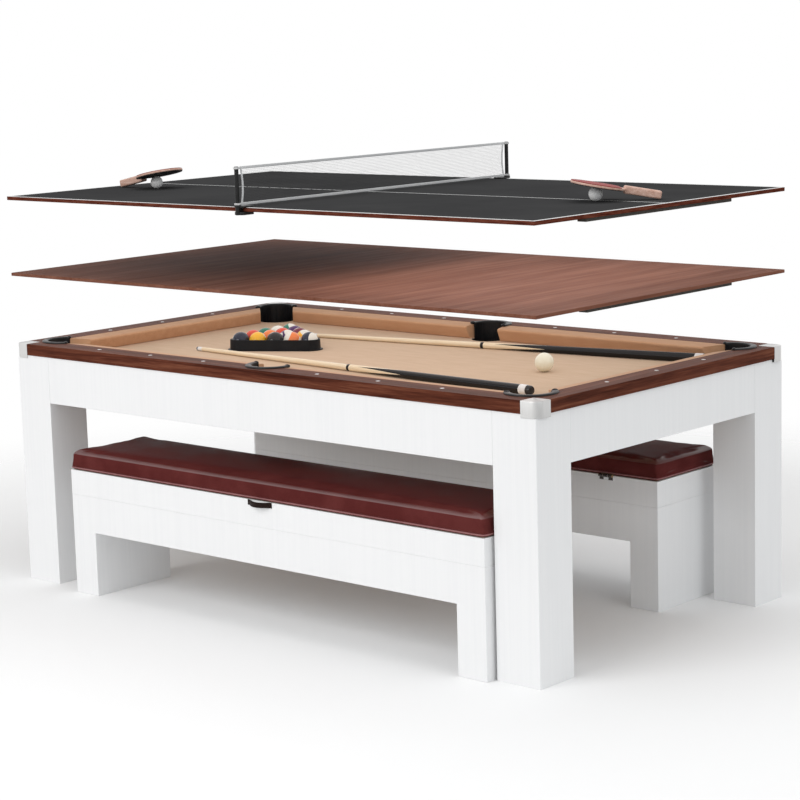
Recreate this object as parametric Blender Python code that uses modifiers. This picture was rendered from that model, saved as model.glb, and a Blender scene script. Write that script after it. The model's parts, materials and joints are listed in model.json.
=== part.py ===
"""Multi game table with a pool bed, two loose tops, their games and two storage benches.

Metres, +Z up. The origin is on the floor under the middle of the table, +X runs along
the table and -Y is its front. The two tops float above the rails, as when they are
lifted off, and slide straight down on to the table.
"""

from math import asin, atan2, cos, hypot, pi, radians, sin, sqrt

import bmesh
import bpy
from mathutils import Matrix, Vector

# Gap between pieces that touch
CLEARANCE = 0.0003
# How far a cutter runs past the face it cuts
OVERCUT = 0.02
# How deep a shape sinks into the one it is joined to
SINK = 0.001
WELD = 0.00001

# Table frame
TABLE_LENGTH = 2.134
TABLE_WIDTH = 1.202
RAIL_TOP = 0.778
RAIL_HEIGHT = 0.036
RAIL_WOOD = 0.077
RAIL_ROUNDING = 0.003
LEG_SIZE = 0.148
LEG_INSET_X = 0.0085
LEG_INSET_Y = 0.0025
LEG_RELIEF = 0.010
BOARD = 0.022
BOARD_EASE = 0.0015
APRON_HEIGHT = 0.149
LEDGE_WIDTH = 0.018
LEDGE_HEIGHT = 0.025

# Playing bed, 48 mm under the rail top
BED_DROP = 0.048
BED_THICKNESS = 0.025
BEAM_WIDTH = 0.045
BEAM_HEIGHT = 0.060

# Cushions on the rails
END_CUSHION = 0.050
SIDE_CUSHION = 0.054
NOSE_HEIGHT = 0.0375
NOSE_THICKNESS = 0.003
CUSHION_UNDERCUT = 0.022
CORNER_CUTBACK = 0.080
CORNER_JAW_CLEARANCE = 0.001
SIDE_JAW_CLEARANCE = 0.002
SIDE_MOUTH_FLARE = 0.0055

# Corner caps
CAP_LENGTH = 0.058
CAP_WIDTH = 0.0565
CAP_RADIUS = 0.028
CAP_WALL = 0.0022
CAP_PLATE = 0.004
CAP_HANG = 0.010
CAP_EASE = 0.0015
CAP_STEPS = 6

# Pocket liners
CORNER_POCKET_OUT = 0.015
SIDE_POCKET_OUT = 0.040
POCKET_RADIUS = 0.0585
POCKET_WALL = 0.003
POCKET_DEPTH = 0.133
POCKET_SIDES = 24
POCKET_LIP_DROP = 0.0015
POCKET_MOUTH = 0.006
FLANGE_WIDTH = 0.0155
FLANGE_THICKNESS = 0.003
FLANGE_EASE = 0.001

# Balls and rack
BALL_RADIUS = 0.028575
BALL_MEETING = 0.0004
BALL_SPIN = radians(1.3)
BALL_SPIN_AXIS = Vector((1, 1, 2))
BALL_ROWS = 5
RACKED_SEGMENTS = 12
RACKED_RINGS = 8
CUE_BALL_SEGMENTS = 20
CUE_BALL_RINGS = 12
RACK_PLAY = 0.0006
RACK_WALL = 0.005
RACK_HEIGHT = 0.035
RACK_FLANGE_WIDTH = 0.008
RACK_FLANGE_HEIGHT = 0.003
RACK_CORNER_STEPS = 6

# Places on the cloth, as shares of the half playing length and half playing width
RACK_APEX_SHARES = (-0.3745, 0.0511)
CUE_BALL_SHARES = (0.6192, 0.1128)
CUE_NEAR_TIP_SHARES = (-0.7021, -0.3872)
CUE_NEAR_END_SHARES = (0.8660, -0.6426)
CUE_FAR_TIP_SHARES = (-0.5851, 0.5021)
CUE_FAR_END_SHARES = (0.9628, 0.9298)

# Cues, each laid flat on the cloth from tip to bumper
CUE_TIP_RADIUS = 0.0065
CUE_BUTT_RADIUS = 0.0145
CUE_SIDES = 12
CUE_TIP_LENGTH = 0.004
CUE_BUMPER_LENGTH = 0.012
CUE_JOINT_SHARE = 0.49
CUE_JOINT_LENGTH = 0.022
CUE_WAIST_SHARE = 0.94
CUE_DOME_SHARE = 0.88

# Loose tops and their pads
DINING_LIFT = 0.227
DINING_THICKNESS = 0.010
TENNIS_LIFT = 0.245
TENNIS_THICKNESS = 0.012
TOP_EASE = 0.0015
PAD_LENGTH = 0.700
PAD_WIDTH = 0.030
PAD_HEIGHT = 0.012
PAD_INSET = 0.037

# Net and posts
POST_RADIUS = 0.0070
POST_SIDES = 12
POST_OFFSET = 0.017
JAW_WIDTH = 0.038
JAW_REACH = 0.032
JAW_UPPER = 0.004
JAW_LOWER = 0.009
JAW_EASE = 0.001
NET_LIFT = 0.006
NET_HEIGHT = 0.112
NET_THICKNESS = 0.003
NET_TAPE = 0.008
NET_END_TAPE = 0.005
NET_STRAND = 0.004
NET_TIE_LENGTH = 0.006
NET_TIE_HEIGHT = 0.007
NET_COLUMNS = 40
NET_ROWS = 4

# Paddles, each propped on a small ball
TENNIS_BALL_RADIUS = 0.020
TENNIS_BALL_SEGMENTS = 16
TENNIS_BALL_RINGS = 10
BLADE_LENGTH = 0.158
BLADE_WIDTH = 0.150
BLADE_THICKNESS = 0.010
BLADE_POINTS = 28
HANDLE_LENGTH = 0.102
HANDLE_TANG = 0.016
HANDLE_TANG_SHARE = 0.5
HANDLE_NECK = 0.025
HANDLE_END = 0.031
HANDLE_THICKNESS = 0.024
HANDLE_EASE = 0.004
# Handle ends, as shares of the half length and half width of the top
PADDLE_LEFT_END_SHARES = (-0.9278, -0.2895)
PADDLE_LEFT_TURN = radians(0.0)
PADDLE_LEFT_REACH = 0.163
PADDLE_RIGHT_END_SHARES = (0.9166, 0.1481)
PADDLE_RIGHT_TURN = radians(223.4)
PADDLE_RIGHT_REACH = 0.183

# Benches
# Room that a bench leaves between the legs and under the aprons of the table
BENCH_SIDE_ROOM = 0.133
BENCH_HEADROOM = 0.1296
BENCH_DEPTH = 0.3105
BENCH_BOX_HEIGHT = 0.0789
BENCH_APRON_HEIGHT = 0.1153
BENCH_LEG = 0.102
BENCH_BOARD = 0.018
BENCH_CLEAT = 0.012
TUB_WALL = 0.015
TUB_FLOOR = 0.012
TUB_LIFT = 0.0062
LID_THICKNESS = 0.011
LID_INSET = 0.008
SEAT_OVERHANG = 0.005
SEAT_HEIGHT = 0.0654
SEAT_CROWN = 0.004
SEAT_PULL_IN = 0.003
SEAT_EDGE = 0.012
SEAT_COLUMNS = 8
SEAT_LAYERS = 2
# How far each bench stands proud of the table's side, and off the middle of its room
FRONT_BENCH_PROUD = 0.029
BACK_BENCH_PROUD = -0.0593
FRONT_BENCH_SHARE = 0.857
BACK_BENCH_SHARE = 0.2256

# Bench hinges and pull
HINGE_SHARE = 0.39
HINGE_RADIUS = 0.0045
HINGE_SIDES = 16
HINGE_WIDTH = 0.050
HINGE_MIDDLE = 0.018
HINGE_PLAY = 0.0005
HINGE_PLATE = 0.002
HINGE_DROP = 0.014
HINGE_BITE = 0.030
PULL_WIDTH = 0.080
PULL_BULGE = 0.018
PULL_STRAP = 0.016
PULL_THICKNESS = 0.003
PULL_TAB = 0.008
PULL_STEPS = 10

# Faces that meet at more than this angle are shaded sharp
SHARP_ANGLE = radians(35)

# Looks: base colour, roughness, metallic
WALNUT = ((0.155, 0.045, 0.028), 0.32, 0.0)
WHITE_LACQUER = ((0.860, 0.865, 0.870), 0.35, 0.0)
CLOTH = ((0.610, 0.445, 0.310), 0.90, 0.0)
ALUMINIUM = ((0.620, 0.625, 0.640), 0.35, 1.0)
BLACK_PLASTIC = ((0.018, 0.018, 0.020), 0.35, 0.0)
RAW_WOOD = ((0.330, 0.220, 0.140), 0.70, 0.0)
BALL_RESIN = ((0.700, 0.120, 0.060), 0.12, 0.0)
IVORY = ((0.900, 0.860, 0.640), 0.12, 0.0)
MAPLE = ((0.640, 0.430, 0.240), 0.30, 0.0)
DINING_WOOD = ((0.270, 0.110, 0.065), 0.38, 0.0)
TENNIS_PAINT = ((0.048, 0.048, 0.050), 0.45, 0.0)
FELT = ((0.060, 0.055, 0.050), 0.95, 0.0)
NET_GREY = ((0.420, 0.430, 0.450), 0.85, 0.0)
PADDLE_WOOD = ((0.720, 0.480, 0.380), 0.45, 0.0)
WHITE_PLASTIC = ((0.850, 0.850, 0.850), 0.40, 0.0)
MAROON_LEATHER = ((0.105, 0.022, 0.020), 0.38, 0.0)
DARK_LEATHER = ((0.020, 0.010, 0.008), 0.45, 0.0)

# Lengths that follow from the ones above
HALF_LENGTH = TABLE_LENGTH / 2
HALF_WIDTH = TABLE_WIDTH / 2
RAIL_BOTTOM = RAIL_TOP - RAIL_HEIGHT
APRON_BOTTOM = RAIL_BOTTOM - APRON_HEIGHT
CLOTH_X = HALF_LENGTH - RAIL_WOOD
CLOTH_Y = HALF_WIDTH - RAIL_WOOD
NOSE_X = CLOTH_X - END_CUSHION
NOSE_Y = CLOTH_Y - SIDE_CUSHION
LEG_X = HALF_LENGTH - LEG_INSET_X
LEG_Y = HALF_WIDTH - LEG_INSET_Y
LEG_TOP = RAIL_BOTTOM - CLEARANCE
BED_TOP = RAIL_TOP - BED_DROP
BED_BOTTOM = BED_TOP - BED_THICKNESS
LEDGE_TOP = BED_BOTTOM - CLEARANCE
POCKET_BOTTOM = RAIL_TOP - POCKET_DEPTH
LEG_SOLID_TOP = POCKET_BOTTOM - LEG_RELIEF
POCKET_LIP = BED_TOP - POCKET_LIP_DROP
FLANGE_BOTTOM = RAIL_TOP + CLEARANCE
FLANGE_RADIUS = POCKET_RADIUS + FLANGE_WIDTH
RACKED_RADIUS = BALL_RADIUS + BALL_MEETING
BALL_PITCH = 2 * BALL_RADIUS
DINING_TOP_Z = RAIL_TOP + DINING_LIFT
POST_HEIGHT = NET_LIFT + NET_HEIGHT
BENCH_LENGTH = 2 * (LEG_X - LEG_SIZE) - BENCH_SIDE_ROOM
SEAT_TOP = APRON_BOTTOM - BENCH_HEADROOM
BENCH_BODY_TOP = SEAT_TOP - SEAT_HEIGHT
BENCH_SEAM = BENCH_BODY_TOP - BENCH_BOX_HEIGHT
BENCH_APRON_BOTTOM = BENCH_SEAM - BENCH_APRON_HEIGHT
TUB_BOTTOM = BENCH_APRON_BOTTOM + TUB_LIFT
HINGE_OFFSET = HINGE_RADIUS + HINGE_PLAY
CORNERS = (("front_left", -1, -1), ("front_right", 1, -1), ("back_left", -1, 1), ("back_right", 1, 1))


def on_cloth(shares):
    """Spot on the playing field, from shares of its half length and half width."""
    return Vector((shares[0] * NOSE_X, shares[1] * NOSE_Y))


def start_scene():
    """Empty the scene and return the collections for the parts and for the cutters."""
    for thing in list(bpy.data.objects):
        bpy.data.objects.remove(thing, do_unlink=True)
    parts = bpy.data.collections.new("multi_game_table")
    cutters = bpy.data.collections.new("cutters")
    for collection in (parts, cutters):
        bpy.context.scene.collection.children.link(collection)
    return parts, cutters


PARTS, CUTTERS = start_scene()


def polygon_radius(radius, sides):
    """Radius of a polygon's points when its flats keep the given radius and a clearance."""
    return (radius + CLEARANCE) / cos(pi / sides)


def add_mesh(name, bm):
    """Turn a bmesh into an object in the collection of the parts."""
    mesh = bpy.data.meshes.new(name)
    bm.to_mesh(mesh)
    bm.free()
    piece = bpy.data.objects.new(name, mesh)
    PARTS.objects.link(piece)
    return piece


def add_empty(name, location):
    """Add an empty that marks where a body moves from."""
    empty = bpy.data.objects.new(name, None)
    empty.location = location
    PARTS.objects.link(empty)
    return empty


def place(piece, location=(0, 0, 0), rotation=(0, 0, 0), parent=None):
    """Put a piece at a location and rotation, under a parent where it has one."""
    piece.location = location
    piece.rotation_euler = rotation
    piece.parent = parent
    return piece


def box(name, size, centre=(0, 0, 0)):
    """Box of the given size around a centre."""
    bm = bmesh.new()
    bmesh.ops.create_cube(bm, size=1)
    bmesh.ops.scale(bm, vec=size, verts=bm.verts)
    bmesh.ops.translate(bm, vec=centre, verts=bm.verts)
    return add_mesh(name, bm)


def span_box(name, low, high):
    """Box between two opposite corners."""
    size = [top - bottom for bottom, top in zip(low, high)]
    centre = [(bottom + top) / 2 for bottom, top in zip(low, high)]
    return box(name, size, centre)


def ball(name, radius, segments, rings, turn=None):
    """Sphere around the origin."""
    bm = bmesh.new()
    bmesh.ops.create_uvsphere(bm, u_segments=segments, v_segments=rings, radius=radius)
    if turn is not None:
        bmesh.ops.transform(bm, matrix=turn, verts=bm.verts)
    piece = add_mesh(name, bm)
    piece.data.shade_smooth()
    return piece


def cylinder(name, radius, length, sides, axis="Z"):
    """Cylinder around the origin, along an axis."""
    bm = bmesh.new()
    bmesh.ops.create_cone(
        bm, cap_ends=True, segments=sides, radius1=radius, radius2=radius, depth=length
    )
    if axis == "X":
        bmesh.ops.rotate(bm, matrix=Matrix.Rotation(pi / 2, 3, "Y"), verts=bm.verts)
    piece = add_mesh(name, bm)
    piece.data.shade_smooth()
    piece.data.set_sharp_from_angle(angle=SHARP_ANGLE)
    return piece


def prism(name, outlines, bottom, top):
    """Solid between two heights with a flat outline, and holes where more outlines are given."""
    curve = bpy.data.curves.new(name, "CURVE")
    curve.dimensions = "2D"
    curve.fill_mode = "BOTH"
    curve.extrude = (top - bottom) / 2
    for outline in outlines:
        spline = curve.splines.new("POLY")
        spline.points.add(len(outline) - 1)
        for point, (x, y) in zip(spline.points, outline):
            point.co = (x, y, 0, 1)
        spline.use_cyclic_u = True
    drawn = bpy.data.objects.new(name, curve)
    PARTS.objects.link(drawn)
    bpy.context.view_layer.update()
    mesh = bpy.data.meshes.new_from_object(drawn.evaluated_get(bpy.context.evaluated_depsgraph_get()))
    place_matrix = drawn.matrix_world.copy()
    bpy.data.objects.remove(drawn, do_unlink=True)
    bm = bmesh.new()
    bm.from_mesh(mesh)
    bmesh.ops.remove_doubles(bm, verts=bm.verts, dist=WELD)
    bmesh.ops.translate(bm, vec=(0, 0, (bottom + top) / 2), verts=bm.verts)
    bmesh.ops.recalc_face_normals(bm, faces=bm.faces)
    bpy.data.meshes.remove(mesh)
    piece = add_mesh(name, bm)
    piece.matrix_world = place_matrix
    return piece


def turned(name, profile, sides):
    """Turned solid: a profile of radius and height, screwed around Z."""
    mesh = bpy.data.meshes.new(name)
    points = [(radius, 0, height) for radius, height in profile]
    edges = [(index, index + 1) for index in range(len(points) - 1)]
    mesh.from_pydata(points, edges, [])
    piece = bpy.data.objects.new(name, mesh)
    PARTS.objects.link(piece)
    screw = piece.modifiers.new("turn", "SCREW")
    screw.steps = sides
    screw.render_steps = sides
    screw.use_merge_vertices = True
    screw.merge_threshold = WELD
    screw.use_smooth_shade = False
    return piece


def ease_edges(piece, width, chosen, segments=1):
    """Round the edges whose two ends both pass the test."""
    bm = bmesh.new()
    bm.from_mesh(piece.data)
    edges = [edge for edge in bm.edges if all(chosen(vert.co) for vert in edge.verts)]
    bmesh.ops.bevel(
        bm, geom=edges, offset=width, offset_type="OFFSET", segments=segments, profile=0.5,
        affect="EDGES",
    )
    bm.to_mesh(piece.data)
    bm.free()
    return piece


def bevel(piece, width, segments=1):
    """Round every edge of a piece."""
    modifier = piece.modifiers.new("ease", "BEVEL")
    modifier.width = width
    modifier.segments = segments
    return piece


def hide_tool(tool):
    """Keep a shape that only cuts or joins out of the model."""
    for collection in list(tool.users_collection):
        collection.objects.unlink(tool)
    CUTTERS.objects.link(tool)
    tool.hide_render = True
    tool.display_type = "WIRE"
    return tool


def combine(piece, tools, operation):
    """Add one exact Boolean modifier for each tool."""
    for tool in tools:
        modifier = piece.modifiers.new(tool.name, "BOOLEAN")
        modifier.operation = operation
        modifier.solver = "EXACT"
        modifier.object = hide_tool(tool)
    return piece


def cut(piece, *tools):
    """Cut the tools out of a piece."""
    return combine(piece, tools, "DIFFERENCE")


def join(piece, *tools):
    """Join the tools to a piece as one solid."""
    return combine(piece, tools, "UNION")


def paint(piece, look):
    """Give a piece its own material."""
    colour, roughness, metallic = look
    material = bpy.data.materials.new(piece.name)
    material.use_nodes = True
    shader = material.node_tree.nodes["Principled BSDF"]
    shader.inputs["Base Color"].default_value = (*colour, 1)
    shader.inputs["Roughness"].default_value = roughness
    shader.inputs["Metallic"].default_value = metallic
    piece.data.materials.append(material)
    return piece


def pocket_places():
    """Name, centre and mouth direction of the six pockets."""
    corner_x = NOSE_X + CORNER_POCKET_OUT
    corner_y = NOSE_Y + CORNER_POCKET_OUT
    side_y = NOSE_Y + SIDE_POCKET_OUT
    places = [
        (name, Vector((side_x * corner_x, side * corner_y, 0)), Vector((-side_x, -side, 0)).normalized())
        for name, side_x, side in CORNERS
    ]
    places.append(("front_middle", Vector((0, -side_y, 0)), Vector((0, 1, 0))))
    places.append(("back_middle", Vector((0, side_y, 0)), Vector((0, -1, 0))))
    return places


def pocket_cutter(name, centre):
    """Upright cutter that clears one pocket liner."""
    bottom = POCKET_BOTTOM - OVERCUT
    top = RAIL_TOP + OVERCUT
    tool = cylinder(name, polygon_radius(POCKET_RADIUS, POCKET_SIDES), top - bottom, POCKET_SIDES)
    return place(tool, (centre.x, centre.y, (bottom + top) / 2))


def cap_outline(inset, past):
    """Plan of a corner cap from its inner corner, drawn in by an inset and run past its inner sides."""
    length = CAP_LENGTH - inset
    width = CAP_WIDTH - inset
    radius = CAP_RADIUS - inset
    outline = [(-past, -past), (length, -past)]
    for step in range(CAP_STEPS + 1):
        angle = step / CAP_STEPS * pi / 2
        outline.append((length - radius + radius * cos(angle), width - radius + radius * sin(angle)))
    outline.append((-past, width))
    return outline


def cornered(outline, side_x, side_y):
    """Plan of a shape at one corner of the table, from the cap's inner corner outward."""
    inner_x = HALF_LENGTH - CAP_LENGTH
    inner_y = HALF_WIDTH - CAP_WIDTH
    return [(side_x * (inner_x + x), side_y * (inner_y + y)) for x, y in outline]


def cap_wedge():
    """Plan of what lies between a square corner and the inner side of the cap's rounding."""
    gap = CAP_WALL + CLEARANCE
    length = CAP_LENGTH - gap
    width = CAP_WIDTH - gap
    radius = CAP_RADIUS - gap
    outline = []
    for step in range(CAP_STEPS + 1):
        angle = step / CAP_STEPS * pi / 2
        outline.append((length - radius + radius * cos(angle), width - radius + radius * sin(angle)))
    outline.append((length - radius, width + OVERCUT))
    outline.append((length + OVERCUT, width + OVERCUT))
    outline.append((length + OVERCUT, width - radius))
    return outline


def build_legs():
    """Four square legs, hollow at the top behind the bed and rounded to fit inside the caps."""
    wall = LEG_SIZE - BOARD + OVERCUT
    for name, side_x, side_y in CORNERS:
        middle = (side_x * (LEG_X - LEG_SIZE / 2), side_y * (LEG_Y - LEG_SIZE / 2))
        leg = box(f"leg_{name}", (LEG_SIZE, LEG_SIZE, LEG_TOP), (*middle, LEG_TOP / 2))
        ease_edges(leg, BOARD_EASE, lambda co: abs(co.x) > LEG_X - SINK and abs(co.y) > LEG_Y - SINK)
        shift = (BOARD + OVERCUT) / 2
        hollow = box(f"{leg.name}_hollow", (wall, wall, LEG_TOP - LEG_SOLID_TOP + OVERCUT),
                     (middle[0] - side_x * shift, middle[1] - side_y * shift,
                      (LEG_TOP + OVERCUT + LEG_SOLID_TOP) / 2))
        wedge = prism(f"{leg.name}_wedge", [cornered(cap_wedge(), side_x, side_y)],
                      RAIL_BOTTOM - CAP_HANG - CLEARANCE, RAIL_TOP)
        cut(leg, hollow, wedge)
        paint(leg, WHITE_LACQUER)


def apron_profile():
    """Section of an apron: the board and the ledge on its inner side, depth inward and height."""
    return [
        (0, APRON_BOTTOM),
        (BOARD, APRON_BOTTOM),
        (BOARD, LEDGE_TOP - LEDGE_HEIGHT),
        (BOARD + LEDGE_WIDTH, LEDGE_TOP - LEDGE_HEIGHT),
        (BOARD + LEDGE_WIDTH, LEDGE_TOP),
        (BOARD, LEDGE_TOP),
        (BOARD, LEG_TOP),
        (0, LEG_TOP),
    ]


def run_profile(name, profile, half, starts=None, ends=None):
    """Section run along X, depth along Y; each end may slant with the depth."""
    piece = prism(name, [profile], -half, half)
    for vert in piece.data.vertices:
        depth, height, along = vert.co
        if along > 0 and ends:
            along = ends(depth)
        elif along < 0 and starts:
            along = starts(depth)
        vert.co = (along, depth, height)
    return piece


def build_aprons():
    """Four apron boards between the legs, with the ledge that carries the bed."""
    front_half = LEG_X - LEG_SIZE - CLEARANCE
    side_half = LEG_Y - LEG_SIZE - CLEARANCE
    spots = (
        ("apron_front", front_half, (0, -LEG_Y, 0), 0),
        ("apron_back", front_half, (0, LEG_Y, 0), pi),
        ("apron_left", side_half, (-LEG_X, 0, 0), -pi / 2),
        ("apron_right", side_half, (LEG_X, 0, 0), pi / 2),
    )
    for name, half, location, turn in spots:
        apron = place(run_profile(name, apron_profile(), half), location, (0, 0, turn))
        for pocket, centre, _ in pocket_places():
            if name.split("_")[1] in pocket and "middle" in pocket:
                cut(apron, pocket_cutter(f"{name}_notch", centre))
        paint(apron, WHITE_LACQUER)


def rail_outline(long_rail):
    """Plan of a rail along X with its outer side at -Y, mitred towards the inner corner of the caps."""
    if long_rail:
        half, depth = HALF_LENGTH - CAP_LENGTH, HALF_WIDTH
        mitre_out, mitre_in = HALF_WIDTH - CAP_WIDTH, CLOTH_Y
        inner = CLOTH_X
    else:
        half, depth = HALF_WIDTH - CAP_WIDTH, HALF_LENGTH
        mitre_out, mitre_in = HALF_LENGTH - CAP_LENGTH, CLOTH_X
        inner = CLOTH_Y
    gap = CLEARANCE
    return [
        (-half + gap, -depth),
        (half - gap, -depth),
        (half - gap, -mitre_out),
        (inner - gap, -mitre_in),
        (-inner + gap, -mitre_in),
        (-half + gap, -mitre_out),
    ]


def build_rails():
    """Four wooden rails, cut round by the pocket liners, with a rounded outer top edge."""
    spots = (
        ("rail_front", True, 0, "front"),
        ("rail_back", True, pi, "back"),
        ("rail_left", False, -pi / 2, "left"),
        ("rail_right", False, pi / 2, "right"),
    )
    for name, long_rail, turn, side in spots:
        rail = prism(name, [rail_outline(long_rail)], RAIL_BOTTOM, RAIL_TOP)
        outer = -HALF_WIDTH if long_rail else -HALF_LENGTH
        ease_edges(rail, RAIL_ROUNDING, lambda co: co.y < outer + SINK and co.z > RAIL_TOP - SINK, 2)
        place(rail, rotation=(0, 0, turn))
        for pocket, centre, _ in pocket_places():
            if side in pocket:
                cut(rail, pocket_cutter(f"{name}_{pocket}_notch", centre))
        paint(rail, WALNUT)


def build_corner_caps():
    """Four rounded metal caps, open inside and below, that wrap the corners of the rails."""
    for name, side_x, side_y in CORNERS:
        bottom = RAIL_BOTTOM - CAP_HANG
        cap = prism(f"corner_cap_{name}", [cornered(cap_outline(0, -CLEARANCE), side_x, side_y)],
                    bottom, RAIL_TOP)
        limit_x = HALF_LENGTH - CAP_LENGTH + SINK
        limit_y = HALF_WIDTH - CAP_WIDTH + SINK
        ease_edges(
            cap, CAP_EASE,
            lambda co: co.z > RAIL_TOP - SINK and abs(co.x) > limit_x and abs(co.y) > limit_y,
        )
        inside = prism(f"{cap.name}_inside", [cornered(cap_outline(CAP_WALL, OVERCUT), side_x, side_y)],
                       bottom - OVERCUT, RAIL_TOP - CAP_PLATE)
        cut(cap, inside)
        paint(cap, ALUMINIUM)


def build_bed():
    """Playing bed with its six pocket holes, and the beam under it."""
    bed_x = LEG_X - BOARD - CLEARANCE
    bed_y = LEG_Y - BOARD - CLEARANCE
    bed = span_box("playing_bed", (-bed_x, -bed_y, BED_BOTTOM), (bed_x, bed_y, BED_TOP))
    cut(bed, *[pocket_cutter(f"bed_{name}_hole", centre) for name, centre, _ in pocket_places()])
    paint(bed, CLOTH)
    beam_x = LEG_X - BOARD - LEDGE_WIDTH - CLEARANCE
    beam = span_box("centre_beam", (-beam_x, -BEAM_WIDTH / 2, LEDGE_TOP - BEAM_HEIGHT),
                    (beam_x, BEAM_WIDTH / 2, LEDGE_TOP))
    paint(beam, RAW_WOOD)


def jaw_back(pocket, back):
    """How far a cushion's back runs, so that its corner clears the pocket liner."""
    reach = POCKET_RADIUS + CORNER_JAW_CLEARANCE
    return pocket[0] - sqrt(reach ** 2 - (back - pocket[1]) ** 2)


def build_cushions():
    """Six rubber cushions under cloth, slanted at their ends to open the pocket mouths."""
    pocket_x = NOSE_X + CORNER_POCKET_OUT
    pocket_y = NOSE_Y + CORNER_POCKET_OUT
    side_mouth = POCKET_RADIUS + SIDE_JAW_CLEARANCE
    middle_jaw = (side_mouth + SIDE_MOUTH_FLARE, side_mouth)
    side_jaw = (NOSE_X - CORNER_CUTBACK, jaw_back((pocket_x, pocket_y), CLOTH_Y))
    end_jaw = (NOSE_Y - CORNER_CUTBACK, jaw_back((pocket_y, pocket_x), CLOTH_X))
    side, end = (NOSE_Y, CLOTH_Y), (NOSE_X, CLOTH_X)
    # Nose and back of each cushion, its turn, and the jaws it runs between: -1 swaps one over
    spots = (
        ("cushion_front_left", side, pi, (middle_jaw, 1), (side_jaw, 1)),
        ("cushion_front_right", side, pi, (side_jaw, -1), (middle_jaw, -1)),
        ("cushion_back_left", side, 0, (side_jaw, -1), (middle_jaw, -1)),
        ("cushion_back_right", side, 0, (middle_jaw, 1), (side_jaw, 1)),
        ("cushion_left", end, pi / 2, (end_jaw, -1), (end_jaw, 1)),
        ("cushion_right", end, -pi / 2, (end_jaw, -1), (end_jaw, 1)),
    )
    for name, (nose, back), turn, (first, first_side), (last, last_side) in spots:
        depth = back - nose - CLEARANCE
        profile = [
            (CUSHION_UNDERCUT, CLEARANCE),
            (depth, CLEARANCE),
            (depth, BED_DROP),
            (0, NOSE_HEIGHT),
            (0, NOSE_HEIGHT - NOSE_THICKNESS),
        ]
        cushion = run_profile(
            name, profile, (last_side * last[0] - first_side * first[0]) / 2,
            lambda run: first_side * (first[0] + (first[1] - first[0]) * run / depth),
            lambda run: last_side * (last[0] + (last[1] - last[0]) * run / depth),
        )
        offset = Matrix.Rotation(turn, 3, "Z") @ Vector((0, nose, 0))
        place(cushion, (offset.x, offset.y, BED_TOP), (0, 0, turn))
        paint(cushion, CLOTH)


def liner_profile():
    """Section of a pocket liner: the cup, its wall and the flange that lies on the rails."""
    inner = POCKET_RADIUS - POCKET_WALL
    flange_top = FLANGE_BOTTOM + FLANGE_THICKNESS
    return [
        (0, POCKET_BOTTOM + POCKET_WALL),
        (inner, POCKET_BOTTOM + POCKET_WALL),
        (inner, flange_top - FLANGE_EASE),
        (inner + FLANGE_EASE, flange_top),
        (FLANGE_RADIUS - FLANGE_EASE, flange_top),
        (FLANGE_RADIUS, flange_top - FLANGE_EASE),
        (FLANGE_RADIUS, FLANGE_BOTTOM),
        (POCKET_RADIUS, FLANGE_BOTTOM),
        (POCKET_RADIUS, POCKET_BOTTOM),
        (0, POCKET_BOTTOM),
    ]


def build_pockets():
    """Six pocket liners, open to the table over the bed."""
    for name, centre, mouth in pocket_places():
        liner = turned(f"pocket_{name}", liner_profile(), POCKET_SIDES)
        place(liner, (centre.x, centre.y, 0))
        turn = atan2(mouth.y, mouth.x)
        width = FLANGE_RADIUS + OVERCUT
        opening = span_box(f"{liner.name}_mouth", (POCKET_MOUTH, -width, POCKET_LIP),
                           (width, width, RAIL_TOP + OVERCUT))
        place(opening, (centre.x, centre.y, 0), (0, 0, turn))
        cut(liner, opening)
        paint(liner, BLACK_PLASTIC)


def racked_places():
    """Row, place in the row and centre of the fifteen racked balls, from the apex."""
    row_step = BALL_PITCH * sin(pi / 3)
    apex = on_cloth(RACK_APEX_SHARES)
    for row in range(BALL_ROWS):
        for place_in_row in range(row + 1):
            offset = Vector((-row * row_step, (place_in_row - row / 2) * BALL_PITCH))
            yield row, place_in_row, apex + offset


def rack_outline(offset):
    """Rounded triangle round the centres of the three corner balls."""
    side = (BALL_ROWS - 1) * BALL_PITCH
    height = side * sin(pi / 3)
    corners = ((0, 0), (-height, side / 2), (-height, -side / 2))
    corner_turn = 2 * pi / len(corners)
    outline = []
    for index, (x, y) in enumerate(corners):
        for step in range(RACK_CORNER_STEPS + 1):
            angle = corner_turn * (index - 1 / 2 + step / RACK_CORNER_STEPS)
            outline.append((x + offset * cos(angle), y + offset * sin(angle)))
    return outline


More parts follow.
